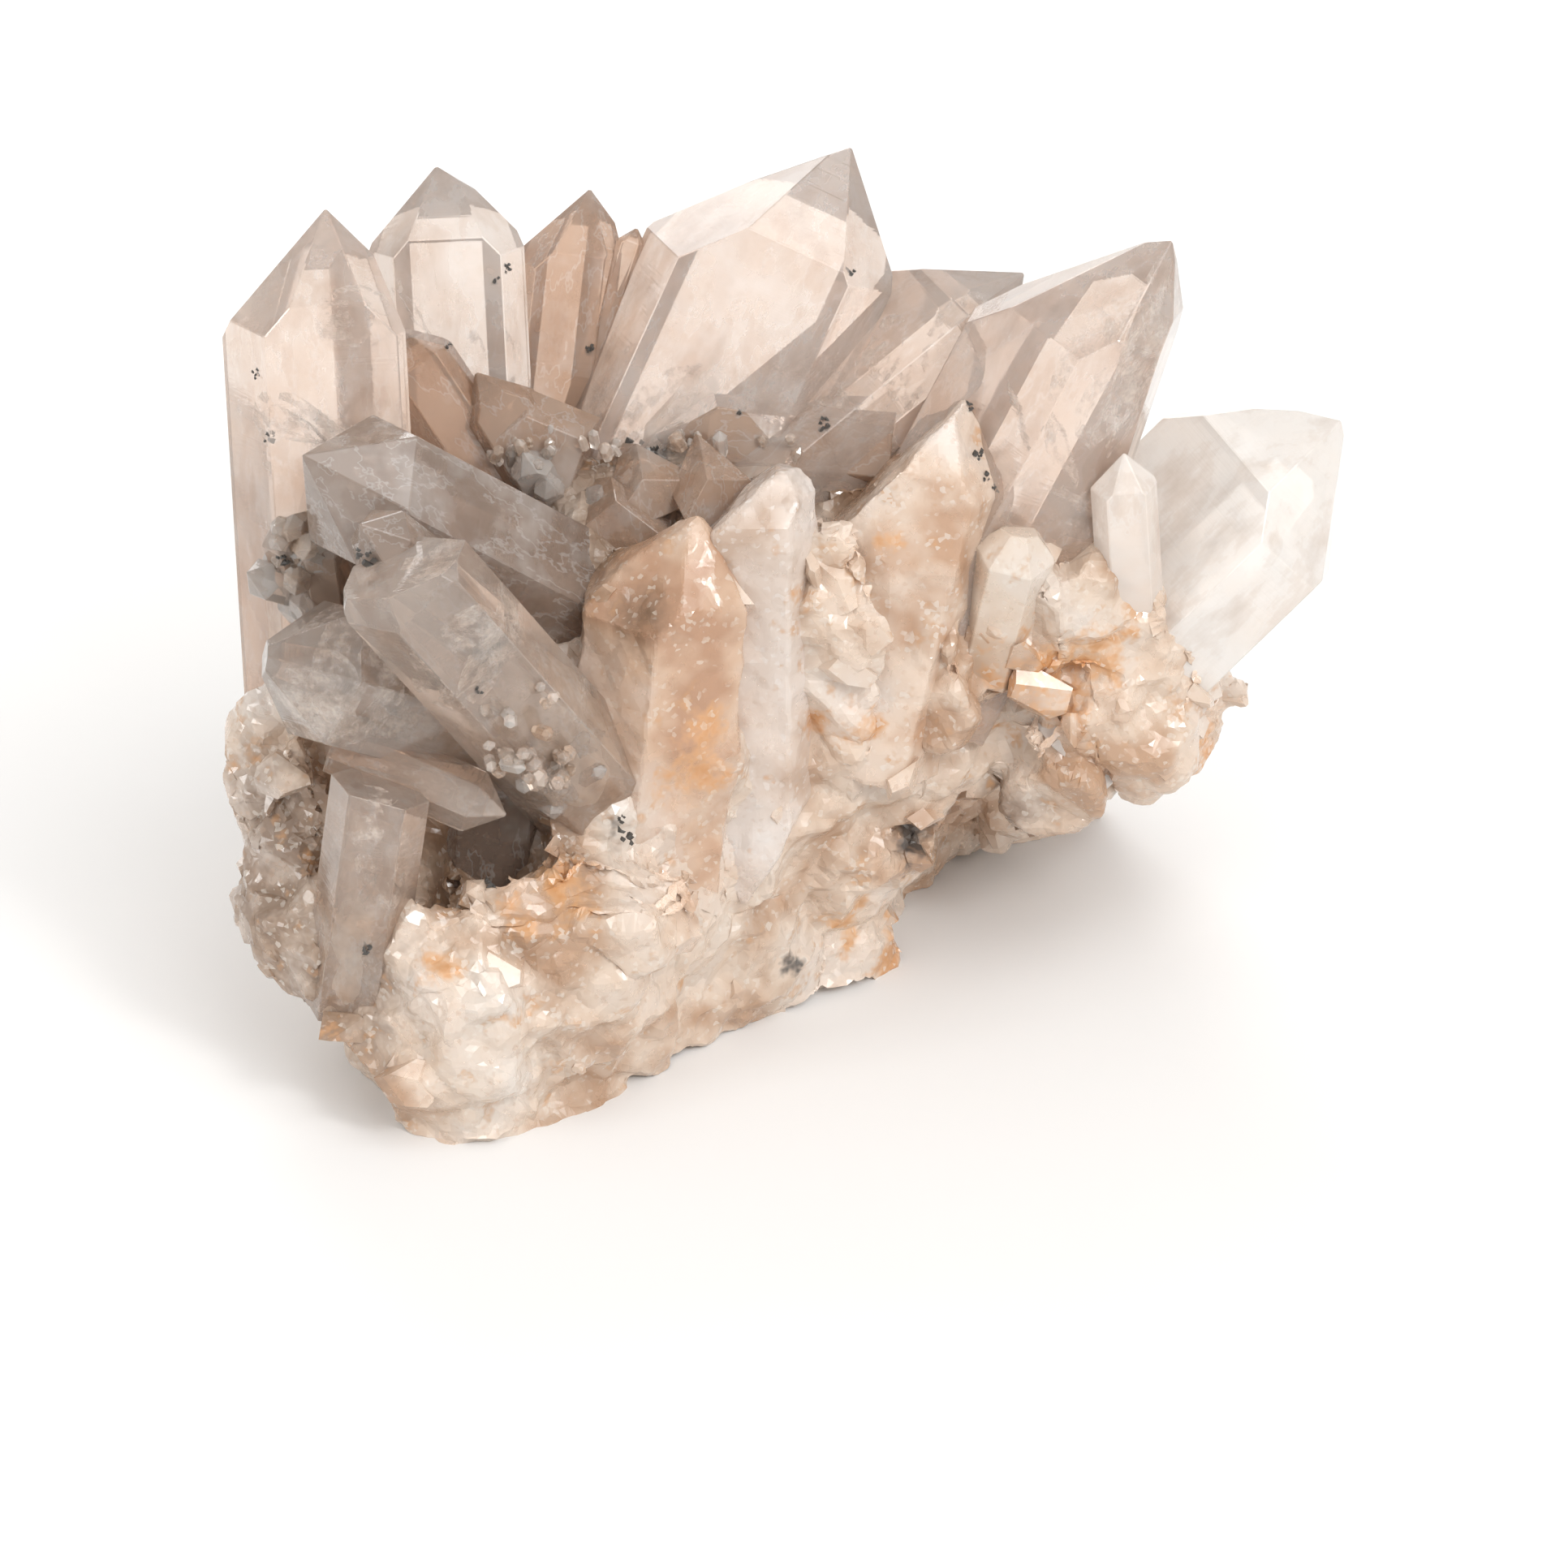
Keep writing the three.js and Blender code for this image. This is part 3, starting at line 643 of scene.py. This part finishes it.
# Each point by the places of its tip and its root, both in millimetres.
TALL_POINTS = {
    "tall_left": dict(tip=(-160, 40, 296), root=(-153, 5, 110), sides=(23, 32, 14, 29, 37, 31),
                      look=(0.15, 0.3)),
    "tall_second": dict(tip=(-123, 80, 293), root=(-115, 30, 110), sides=(18, 28, 24, 23, 21, 23),
                        caps=(0, -6, -6, 0, 0, 0), cuts=[(0.52, 0.86, 0.1, 0)], look=(0.3, 0.3)),
    "tall_third": dict(tip=(-69, 95, 277), root=(-88, 50, 120), sides=(17, 16, 9, 17, 19, 22),
                       look=(0.1, 0.9)),
    "third_companion": dict(tip=(-52, 80, 269), root=(-75, 60, 200), sides=(4, 4, 4, 5, 5, 5),
                            look=(0.1, 1)),
    "broad_middle": dict(tip=(24, 85, 298), root=(-45, 45, 150), sides=(29, 32, 28, 32, 46, 48),
                         caps=(0, 0, 0, 0, -4, -4), cuts=[(-0.32, 0.95, 0.05, 0)], look=(0.3, 0.45)),
    "behind_right": dict(tip=(86, 90, 246), root=(-30, 26, 172), sides=(24, 27, 26, 24, 34, 24), roll=30,
                         look=(0.15, 0.25)),
    "broad_right": dict(tip=(136, 45, 281), root=(50, 20, 110), sides=(26, 26, 26, 35, 50, 35), roll=30,
                        caps=(0, 0, 0, 0, -5, 0), cuts=[(1, 0, 0.2, -1), (0.94, -0.34, 0.1, -10.3)],
                        look=(0.15, 0.25)),
    "far_right": dict(tip=(200, 60, 197), root=(95, 32, 95), sides=(35, 32, 32, 32, 49, 28), roll=30,
                      caps=(0, 0, 0, -5, -20, -5), cuts=[(0.05, 1, 0.1, -7)], look=(0.4, 0.15)),
    "small_right": dict(tip=(119, 5, 218), root=(124, 14, 150), sides=(9, 10, 9, 10, 11, 11),
                        look=(0.15, 0.4)),
    "blocky_right": dict(tip=(84, -5, 198), root=(72, 10, 130), sides=(13, 13, 12, 12, 13, 13),
                         cuts=[(0.2, 1, 0.4, 7)], look=(0.2, 0.8)),
    "grey_left": dict(tip=(-165, -52, 247), root=(-60, 15, 146), sides=(24, 24, 24, 24, 25, 25), roll=30,
                      look=(0.1, 0.1)),
    "dark_knob": dict(tip=(-144, -85, 238), root=(-112, -50, 189), sides=(11, 11, 11, 11, 11, 11),
                      look=(0, 0)),
    "clear_broken": dict(tip=(-142, -112, 250), root=(-68, -38, 108), sides=(21, 22, 20, 21, 20, 22),
                         cuts=[(-0.4, 1, 0.5, 24)], look=(0.05, 0.1)),
    "ribbed_left": dict(tip=(-184, -70, 180), root=(-92, -30, 128), sides=(24, 24, 24, 24, 24, 24), roll=30,
                        cuts=[(-1, 0.1, 0.2, 6)], look=(0.1, 0.1)),
    "crossing": dict(tip=(-96, -76, 118), root=(-156, -62, 140), sides=(10, 10, 10, 10, 10, 10),
                     look=(0.05, 0.2)),
    "stubby": dict(tip=(-135, -90, 160), root=(-152, -72, 40), sides=(14, 15, 14, 14, 16, 16),
                   cuts=[(0.3, 1, 0.4, 24)], look=(0.1, 0.3)),
    "inner_dark": dict(tip=(-100, -28, 142), root=(-106, -34, 40), sides=(20, 22, 18, 18, 20, 20),
                       look=(0, 0.3)),
    "small_left": dict(tip=(-176, -25, 209), root=(-160, -8, 150), sides=(8, 8, 8, 8, 8, 8),
                       look=(0.1, 0.5)),
    "small_left_two": dict(tip=(-162, -30, 212), root=(-158, -8, 150), sides=(10, 9, 9, 9, 10, 10),
                           look=(0.1, 0.5)),
    "hollow_brown": dict(tip=(-109, 40, 232), root=(-75, 20, 180), sides=(9, 14, 12, 12, 12, 12),
                         look=(0, 1)),
    "leaning": dict(tip=(-140, 55, 244), root=(-95, 30, 180), sides=(14, 14, 12, 12, 14, 14),
                    look=(0, 1)),
    "lying_dark": dict(tip=(-46, 38, 208), root=(36, 44, 196), sides=(14, 16, 14, 14, 16, 14),
                       look=(0, 0.8)),
    "wall_tan": dict(tip=(-40, -18, 206), root=(-55, -30, 62), sides=(28, 32, 24, 22, 26, 27), roll=30,
                     caps=(-10, -14, -6, 0, 0, 0), cuts=[(-0.55, 0.85, 0.3, 6), (0.3, 1, 0.3, -4)],
                     look=(0.3, 0.9)),
    "wall_pale": dict(tip=(-12, -4, 228), root=(-12, -16, 56), sides=(20, 22, 20, 20, 22, 20),
                      caps=(0, -10, -10, 0, 0, 0),
                      cuts=[(0, 1, 0.3, 10), (-0.7, 0.7, 0.2, 14), (0.85, -0.5, 0, -82),
                            (-0.85, -0.5, 0, -86)],
                      look=(0.5, 0.3)),
    "wall_peach": dict(tip=(58, 22, 243), root=(24, 6, 98), sides=(26, 30, 26, 24, 44, 40),
                       caps=(0, 0, 0, 0, -6, -6), cuts=[(0.6, 1, 0.4, 8), (-0.9, 0.9, 0.2, 12)],
                       look=(0.4, 0.8)),
    "back_low": dict(tip=(-165, 118, 165), root=(-115, 50, 80), sides=(17, 15, 17, 17, 15, 17)),
    "back_second": dict(tip=(-98, 148, 172), root=(-78, 60, 70), sides=(20, 22, 20, 20, 22, 20)),
    "back_middle": dict(tip=(-34, 158, 150), root=(-40, 70, 70), sides=(17, 18, 17, 17, 18, 17)),
    "back_broad": dict(tip=(32, 156, 172), root=(8, 70, 70), sides=(22, 24, 22, 22, 24, 22)),
    "back_right": dict(tip=(98, 146, 148), root=(55, 65, 75), sides=(18, 20, 18, 18, 20, 18)),
    "back_outer": dict(tip=(162, 118, 122), root=(95, 50, 80), sides=(19, 18, 19, 19, 18, 19)),
    "back_foot": dict(tip=(-122, 152, 78), root=(-60, 60, 60), sides=(17, 18, 17, 17, 18, 17)),
    "back_foot_right": dict(tip=(62, 160, 62), root=(40, 70, 55), sides=(16, 15, 16, 16, 15, 16)),
}
# A healed fracture is a film of tiny bubbles: it shows as torn silvery wisps of 9 mm inside a point.
veil_quartz, tree, shader, output = new_material("healed fracture in quartz, silvery")
coordinate = add_node(tree, "TexCoord").outputs["Object"]
wisps = add_node(tree, "TexNoise", {"Vector": coordinate, "Scale": 110, "Detail": 3, "Roughness": 0.7})
thin = add_node(tree, "MapRange", {"Value": wisps.outputs["Fac"], 1: 0.46, 2: 0.7, 3: 0.0, 4: 0.75})
tree.links.new(thin.outputs["Result"], shader.inputs["Alpha"])
shader.inputs["Base Color"].default_value = linear("ffffff")
shader.inputs["Roughness"].default_value = 0.35
VEIL_THICKNESS = 0.02
# How far a veil and a milky heart stay inside the faces of their point.
VEIL_MARGIN = 1.2 * MM
HEART_MARGIN = 2 * MM


def veil_master():
    """One thin wavy lens of radius 1, from which every inner veil is copied."""
    bpy.ops.object.select_all(action="DESELECT")
    bpy.ops.mesh.primitive_uv_sphere_add(segments=14, ring_count=7, radius=1)
    lens = bpy.context.object
    bpy.ops.transform.resize(value=(1, 1, VEIL_THICKNESS))
    bpy.ops.object.transform_apply(location=True, rotation=True, scale=True)
    for vertex in lens.data.vertices:
        x, y, z = vertex.co
        vertex.co.z += 0.12 * math.sin(3.1 * x + 1) * math.cos(2.3 * y) + 0.05 * math.sin(7 * y + 2 * x)
    return lens


lens = veil_master()


def inner_veils(name, planes, root, tip, sides, count, seed):
    """Veils inside one point: healed fractures that cross it at all angles."""
    foot, top = at(root), at(tip)
    along, facing, beside = cross_frame(foot, top, 0)
    length = (top - foot).length
    wide = sum(sides) / 6 * MM
    copies = []
    for i in range(count):
        back = length * (0.16 + 0.7 * chance(i, seed + 0.1))
        middle = top - along * back
        middle += (facing * wide * (chance(i, seed + 0.2) - 0.5)
                   + beside * wide * (chance(i, seed + 0.3) - 0.5))
        size = wide * (0.3 + 0.55 * chance(i, seed + 0.4))
        normal = (facing * (chance(i, seed + 0.5) - 0.2) + beside * (chance(i, seed + 0.6) - 0.5)
                  + along * 1.2 * (chance(i, seed + 0.7) - 0.5)).normalized()
        turn = normal.to_track_quat("Z", "Y").to_matrix().to_4x4()
        veil = lens.copy()
        veil.data = lens.data.copy()
        bpy.context.scene.collection.objects.link(veil)
        stretch = Matrix.Diagonal((size, size * (1 + chance(i, seed + 0.8)), size, 1))
        veil.data.transform(Matrix.Translation(middle) @ turn @ stretch)
        press_inside(veil, planes, VEIL_MARGIN)
        copies.append(veil)
    select_only(*copies)
    bpy.ops.object.join()
    made = bpy.context.object
    made.name = name
    made.data.materials.append(veil_quartz)
    return made


def join_cluster(piece):
    """The piece rides with the cluster and stands for its solid."""
    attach(piece, "root")
    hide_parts("quartz_cluster")


# Which points are worn and milky all through, and which of the clear ones are tinted or clouded.
WALL = ("wall_tan", "wall_pale", "wall_peach", "blocky_right")
PEACH = ("tall_third", "third_companion", "hollow_brown", "leaning", "lying_dark", "small_left",
         "small_left_two")
SMOKY = ("stubby", "ribbed_left", "clear_broken", "crossing")
DARK_POINTS = ("grey_left", "dark_knob", "inner_dark")
MILKY = ("far_right", "small_right", "back_low", "back_second", "back_middle", "back_broad", "back_right",
         "back_outer", "back_foot", "back_foot_right")
# The heart of a point is milky with fluid specks: a soft white cloud that thins out towards the tip.
cloud_quartz, tree, shader, output = new_material("milky heart of a quartz point")
coordinate = add_node(tree, "TexCoord").outputs["Object"]
puffs = add_node(tree, "TexNoise", {"Vector": coordinate, "Scale": 60, "Detail": 3, "Roughness": 0.65})
height = add_node(tree, "Attribute", attribute_name="height").outputs["Fac"]
left = add_node(tree, "Math", {0: puffs.outputs["Fac"], 1: height}, operation="SUBTRACT")
thick = add_node(tree, "MapRange", {"Value": left.outputs[0], 1: -0.35, 2: 0.35, 3: 0.0, 4: 0.8})
tree.links.new(thick.outputs["Result"], shader.inputs["Alpha"])
shader.inputs["Base Color"].default_value = linear("fbf3ea")
shader.inputs["Roughness"].default_value = 0.7
clouds = chip_texture("clouds", "CLOUDS", 0.018, noise_depth=2)
# The heart's radius as a share of the point's.
HEART_WIDTH = 0.72


def milky_heart(name, planes, root, tip, sides, share):
    """The milky part in the middle of a point: thick at the root and fading out towards the tip."""
    foot, top = at(root), at(tip)
    along = cross_frame(foot, top, 0)[0]
    length = (top - foot).length
    wide = sum(sides) / 6 * MM
    bpy.ops.object.select_all(action="DESELECT")
    bpy.ops.mesh.primitive_uv_sphere_add(segments=24, ring_count=20, radius=1)
    heart = bpy.context.object
    heart.name = name
    turn = along.to_track_quat("Z", "Y").to_matrix().to_4x4()
    size = Matrix.Diagonal((wide * HEART_WIDTH, wide * HEART_WIDTH, length * share, 1))
    heart.data.transform(Matrix.Translation(foot) @ turn @ size)
    modify(heart, "DISPLACE", texture=clouds, strength=0.014, mid_level=0.5, texture_coords="LOCAL")
    press_inside(heart, planes, HEART_MARGIN)
    fade = heart.data.attributes.new("height", "FLOAT", "POINT")
    for vertex in heart.data.vertices:
        fade.data[vertex.index].value = (vertex.co - foot).dot(along) / (length * share)
    select_only(heart)
    bpy.ops.object.shade_smooth()
    heart.data.materials.append(cloud_quartz)
    return heart


# The worn points of the wall are milky all through, so they look like the base, each in its own tint.
wall_kinds = {
    # The tan point's colour is partly real tan and partly painted shade: it is darker for the shade on its
    # face, which turns away from the light.
    "wall_tan": massive_quartz("massive quartz, worn tan point, darkened as painted shade", "cda283", "e6c5aa", "f8eadb"),
    "wall_pale": massive_quartz("massive quartz, worn pale point", "d6bca8", "f0dfd2", "fcf6f1"),
    "wall_peach": massive_quartz("massive quartz, worn peach point", "d8b193", "f3dcc8", "fef6ed"),
    "blocky_right": massive_quartz("massive quartz, worn yellow point", "dfc3aa", "f2e1d0", "fbf4ea"),
}
# Points with a smaller side than this are too slim for veils and a heart.
VEILED_SIDE = 12
VEILS_PER_POINT = 6
HEART_SHARE = 0.62
for number, (name, measures) in enumerate(TALL_POINTS.items()):
    point = quartz_point(name, **measures)
    if name in WALL:
        if name != "blocky_right":
            roughen(point, 0.0013, 0.45, ((lumps, -0.0022), (chips, 0.002), (small_chips, -0.0005)))
        paint_stains_and_shade(point)
        point.data.materials.append(wall_kinds[name])
    else:
        kinds = ((PEACH, peach_quartz), (SMOKY, smoky_quartz), (MILKY, milky_quartz),
                 (DARK_POINTS, dark_quartz))
        kind = next((made for names, made in kinds if name in names), clear_quartz)
        point.data.materials.append(kind)
    join_cluster(point)
    shape = {key: value for key, value in measures.items() if key not in ("look", "worn")}
    if min(measures["sides"]) > VEILED_SIDE and name not in WALL and not name.startswith("back"):
        planes = point_planes(**shape)
        where = (planes, measures["root"], measures["tip"], measures["sides"])
        join_cluster(inner_veils("veils_" + name, *where, VEILS_PER_POINT, number + 100))
        join_cluster(milky_heart("heart_" + name, *where, HEART_SHARE))
bpy.data.objects.remove(lens)
bpy.data.objects.remove(slant)


# The broken rock is built of chunks of milky quartz, from a few millimetres to three centimetres
# across, that sit tight in each other. They broke with flat faces and sharp edges.
CHUNK_SHAPES = 8
CHUNK_FACES = 11
# How flat a chunk lies, and how deep its middle is sunk, as shares of its half size.
CHUNK_FLATNESS = 0.55
CHUNK_SUNK = 0.3
# How many chunks each rock carries, and the half sizes of the smallest and the largest in millimetres.
CHUNKS = {"base_rock": (240, 2.5, 13), "wall_tan": (6, 2, 6), "wall_pale": (8, 2, 7),
          "wall_peach": (14, 2, 9)}
# No chunk sits lower on the rock than this.
DEEPEST_CHUNK = 14 * MM


def chunk_shape(number):
    """One broken chunk with flat faces, about two metres across, from which others are copied."""
    planes = [((0.66 + 0.3 * chance(i, number)) * way, way)
              for i, way in enumerate(spread_directions(CHUNK_FACES, 120 + number))]
    return cut_solid("chunk", (0, 0, 0), 3, planes)


shapes = [chunk_shape(number) for number in range(CHUNK_SHAPES)]
chunks = []
for rock_name, (count, least, most) in CHUNKS.items():
    rock = bpy.data.objects[rock_name].data
    for i in range(count):
        spot = rock.vertices[int(chance(i, count + 5) * len(rock.vertices))]
        if spot.co.z < DEEPEST_CHUNK:
            continue
        size = MM * (least + (most - least) * chance(i, count + 0.1) ** 2)
        chunk = shapes[i % CHUNK_SHAPES].copy()
        chunk.data = chunk.data.copy()
        bpy.context.scene.collection.objects.link(chunk)
        turn = (spot.normal.to_track_quat("Z", "Y").to_matrix().to_4x4()
                @ Matrix.Rotation(6.3 * chance(i, count + 0.2), 4, "Z"))
        wide, deep = (0.7 + 0.6 * chance(i, count + part / 10) for part in (3, 4))
        shape = Matrix.Diagonal((size * wide, size * deep, CHUNK_FLATNESS * size, 1))
        middle = spot.co - CHUNK_SUNK * size * spot.normal
        chunk.data.transform(Matrix.Translation(middle) @ turn @ shape)
        chunks.append(chunk)
for shape in shapes:
    bpy.data.objects.remove(shape)
select_only(*chunks)
bpy.ops.object.join()
broken_chunks = bpy.context.object
broken_chunks.name = "broken_chunks"
paint_stains_and_shade(broken_chunks)
broken_chunks.data.materials.append(stained_quartz)
FLOOR_SIDE = (Vector(), Vector((0, 0, -1)))
press_inside(broken_chunks, [*BOX_SIDES, FLOOR_SIDE], 0.2 * MM)
join_cluster(broken_chunks)


# Patches of small points grow on the base and between the tall ones: young crystals that sprang up
# side by side, each of its own length and leaning. They are clear and sharp.

# Each patch by its middle, how far it spreads, how its points lean, and the longest of them.
PATCHES = {
    "hollow_floor": dict(middle=(-58, 22, 186), spread=(34, 8, 6), lean=(0, -0.3, 1), count=9, length=30,
                         seed=61),
    "broken_foot": dict(middle=(-84, -58, 128), spread=(16, 4, 16), lean=(0.3, -1, 0.6), count=8, length=22,
                        seed=62),
    "left_corner": dict(middle=(-160, -14, 166), spread=(12, 8, 12), lean=(-0.5, -0.6, 1), count=7,
                        length=32, seed=63),
    "right_corner": dict(middle=(104, 14, 150), spread=(12, 4, 10), lean=(0.2, -0.6, 1), count=5, length=28,
                         seed=64),
    "back_crest": dict(middle=(-20, 96, 118), spread=(95, 12, 18), lean=(0, 0.8, 1), count=20, length=52,
                       seed=65),
    "back_lower": dict(middle=(-10, 128, 62), spread=(95, 10, 26), lean=(0, 1, 0.5), count=16, length=40,
                       seed=66),
}
# Druse, a sugar of very small points, sits on older faces.
PATCHES |= {
    "druse_broken": dict(middle=(-91, -90, 158), spread=(13, 5, 19), lean=(0.2, -1, 0.5), count=24,
                         length=8, seed=71, slim=0.34),
    "druse_foot": dict(middle=(-80, -78, 142), spread=(7, 5, 8), lean=(0.2, -1, 0.5), count=8, length=8,
                       seed=72, slim=0.34),
    "druse_valley": dict(middle=(-80, 22, 210), spread=(22, 7, 5), lean=(0, -0.5, 1), count=22, length=7,
                         seed=73, slim=0.3),
    "druse_left": dict(middle=(-168, -26, 196), spread=(9, 6, 13), lean=(-0.2, -1, 0.5), count=14,
                       length=16, seed=74, slim=0.3),
    "druse_hollow": dict(middle=(-14, 24, 210), spread=(26, 5, 4), lean=(0, -0.5, 1), count=10, length=8,
                         seed=75, slim=0.3),
}
SMALL_POINT_SLIM = 0.22


def point_patch(name, middle, spread, lean, count, length, seed, slim=SMALL_POINT_SLIM):
    """Small points side by side, joined into one piece."""
    points = []
    for i in range(count):
        off = [2 * chance(i, seed + axis / 10) - 1 for axis in range(1, 7)]
        root = Vector(middle) + Vector([s * o for s, o in zip(spread, off[:3])])
        way = (Vector(lean).normalized() + 0.45 * Vector(off[3:])).normalized()
        reach = length * (0.55 + 0.45 * chance(i, seed + 0.7))
        tip = root + way * reach
        root -= way * 0.4 * reach
        sides = [reach * slim * (0.8 + 0.4 * chance(k, seed + i)) for k in range(6)]
        look = (0.1 + 0.4 * chance(i, seed), 0.3 * chance(i, seed + 3))
        roll = 60 * chance(i, seed + 0.8)
        points.append(quartz_point(f"{name}_{i}", root, tip, sides, roll, look=look, worn=0.2, rooted=0.1))
    select_only(*points)
    bpy.ops.object.join()
    made = bpy.context.object
    made.name = name
    return made


for name, measures in PATCHES.items():
    patch = point_patch(name, **measures)
    kind = {"druse": sugar_quartz, "back": milky_quartz}.get(name.split("_")[0], clear_quartz)
    patch.data.materials.append(kind)
    join_cluster(patch)


# Broken blocks of tinted clear quartz lie wedged in the hollow between the wall and the tall points.
# They are pieces of points that snapped off and healed on again, and stay clear with broken faces.
VALLEY_BLOCKS = {
    "valley_block_near": ((-58, 6, 182), (20, 12, 18), 81),
    "valley_block_mid": ((-46, 16, 198), (17, 9, 10), 82),
    "valley_block_left": ((-84, 30, 208), (18, 9, 18), 83),
    "valley_block_right": ((-24, 12, 198), (15, 9, 12), 84),
}
WORN_EDGE = 0.3 * MM
for name, block in VALLEY_BLOCKS.items():
    piece = broken_block(name, *block, chips=9)
    modify(piece, "BEVEL", width=WORN_EDGE, segments=1, limit_method="ANGLE", angle_limit=SHARP_EDGE)
    piece.data.attributes.new("growth", "FLOAT_VECTOR", "POINT")
    piece.data.attributes.new("look", "FLOAT_VECTOR", "POINT")
    growth, character = (piece.data.attributes[name] for name in ("growth", "look"))
    for vertex in piece.data.vertices:
        growth.data[vertex.index].vector = vertex.co / MM
        character.data[vertex.index].vector = (0.1, 1, 0)
    piece.data.materials.append(peach_quartz)
    join_cluster(piece)


# Black and grey grains sit on the faces and in the cracks: flakes of a dark mineral that the quartz
# grew over. They are flat, with broken edges.

# The middle of each cluster of grains and its reach, in millimetres.
FLECKS = [((-180, 5, 224), 2.2), ((-184, 13, 245), 2.0), ((-174, -30, 194), 2.4), ((-101, 53, 261), 1.6),
          ((-98, 57, 264), 1.8), ((-118, 47, 239), 1.4), ((-69, 63, 229), 2.2), ((23, 48, 267), 2.0),
          ((-52, 33, 206), 3.6), ((-45, 26, 207), 3.0), ((14, 29, 216), 2.6), ((-15, 33, 219), 2.0),
          ((68, 7, 216), 2.4), ((71, 3, 209), 2.0), ((74, 4, 204), 1.6), ((65, 19, 229), 1.6),
          ((-140, -86, 225), 3.0), ((-143, -90, 229), 2.2), ((-104, -100, 182), 1.6), ((-103, -84, 95), 2.6),
          ((-146, -91, 73), 2.4), ((-55, -66, 104), 2.8), ((-57, -64, 110), 1.6), ((1, -17, 23), 3.2)]
# Metallic dark mineral: nearly black, with a dull gloss where a flake turns to the light.
mica, tree, shader, output = new_material("dark mineral grains, blue black")
shader.inputs["Base Color"].default_value = linear("4a4744")
shader.inputs["Roughness"].default_value = 0.35
FLAKES_PER_FLECK = 7
grains = []
for number, (place, size) in enumerate(FLECKS):
    for flake in range(FLAKES_PER_FLECK):
        off = [size * 0.8 * (2 * chance(flake, number + axis / 10) - 1) for axis in range(1, 4)]
        half = [size * (0.1 + 0.28 * chance(flake, number + axis / 10)) for axis in range(4, 7)]
        where = [p + o for p, o in zip(place, off)]
        grains.append(broken_block("dark_grains", where, half, number + flake, chips=7))
select_only(*grains)
bpy.ops.object.join()
dark_grains = bpy.context.object
dark_grains.data.materials.append(mica)
join_cluster(dark_grains)
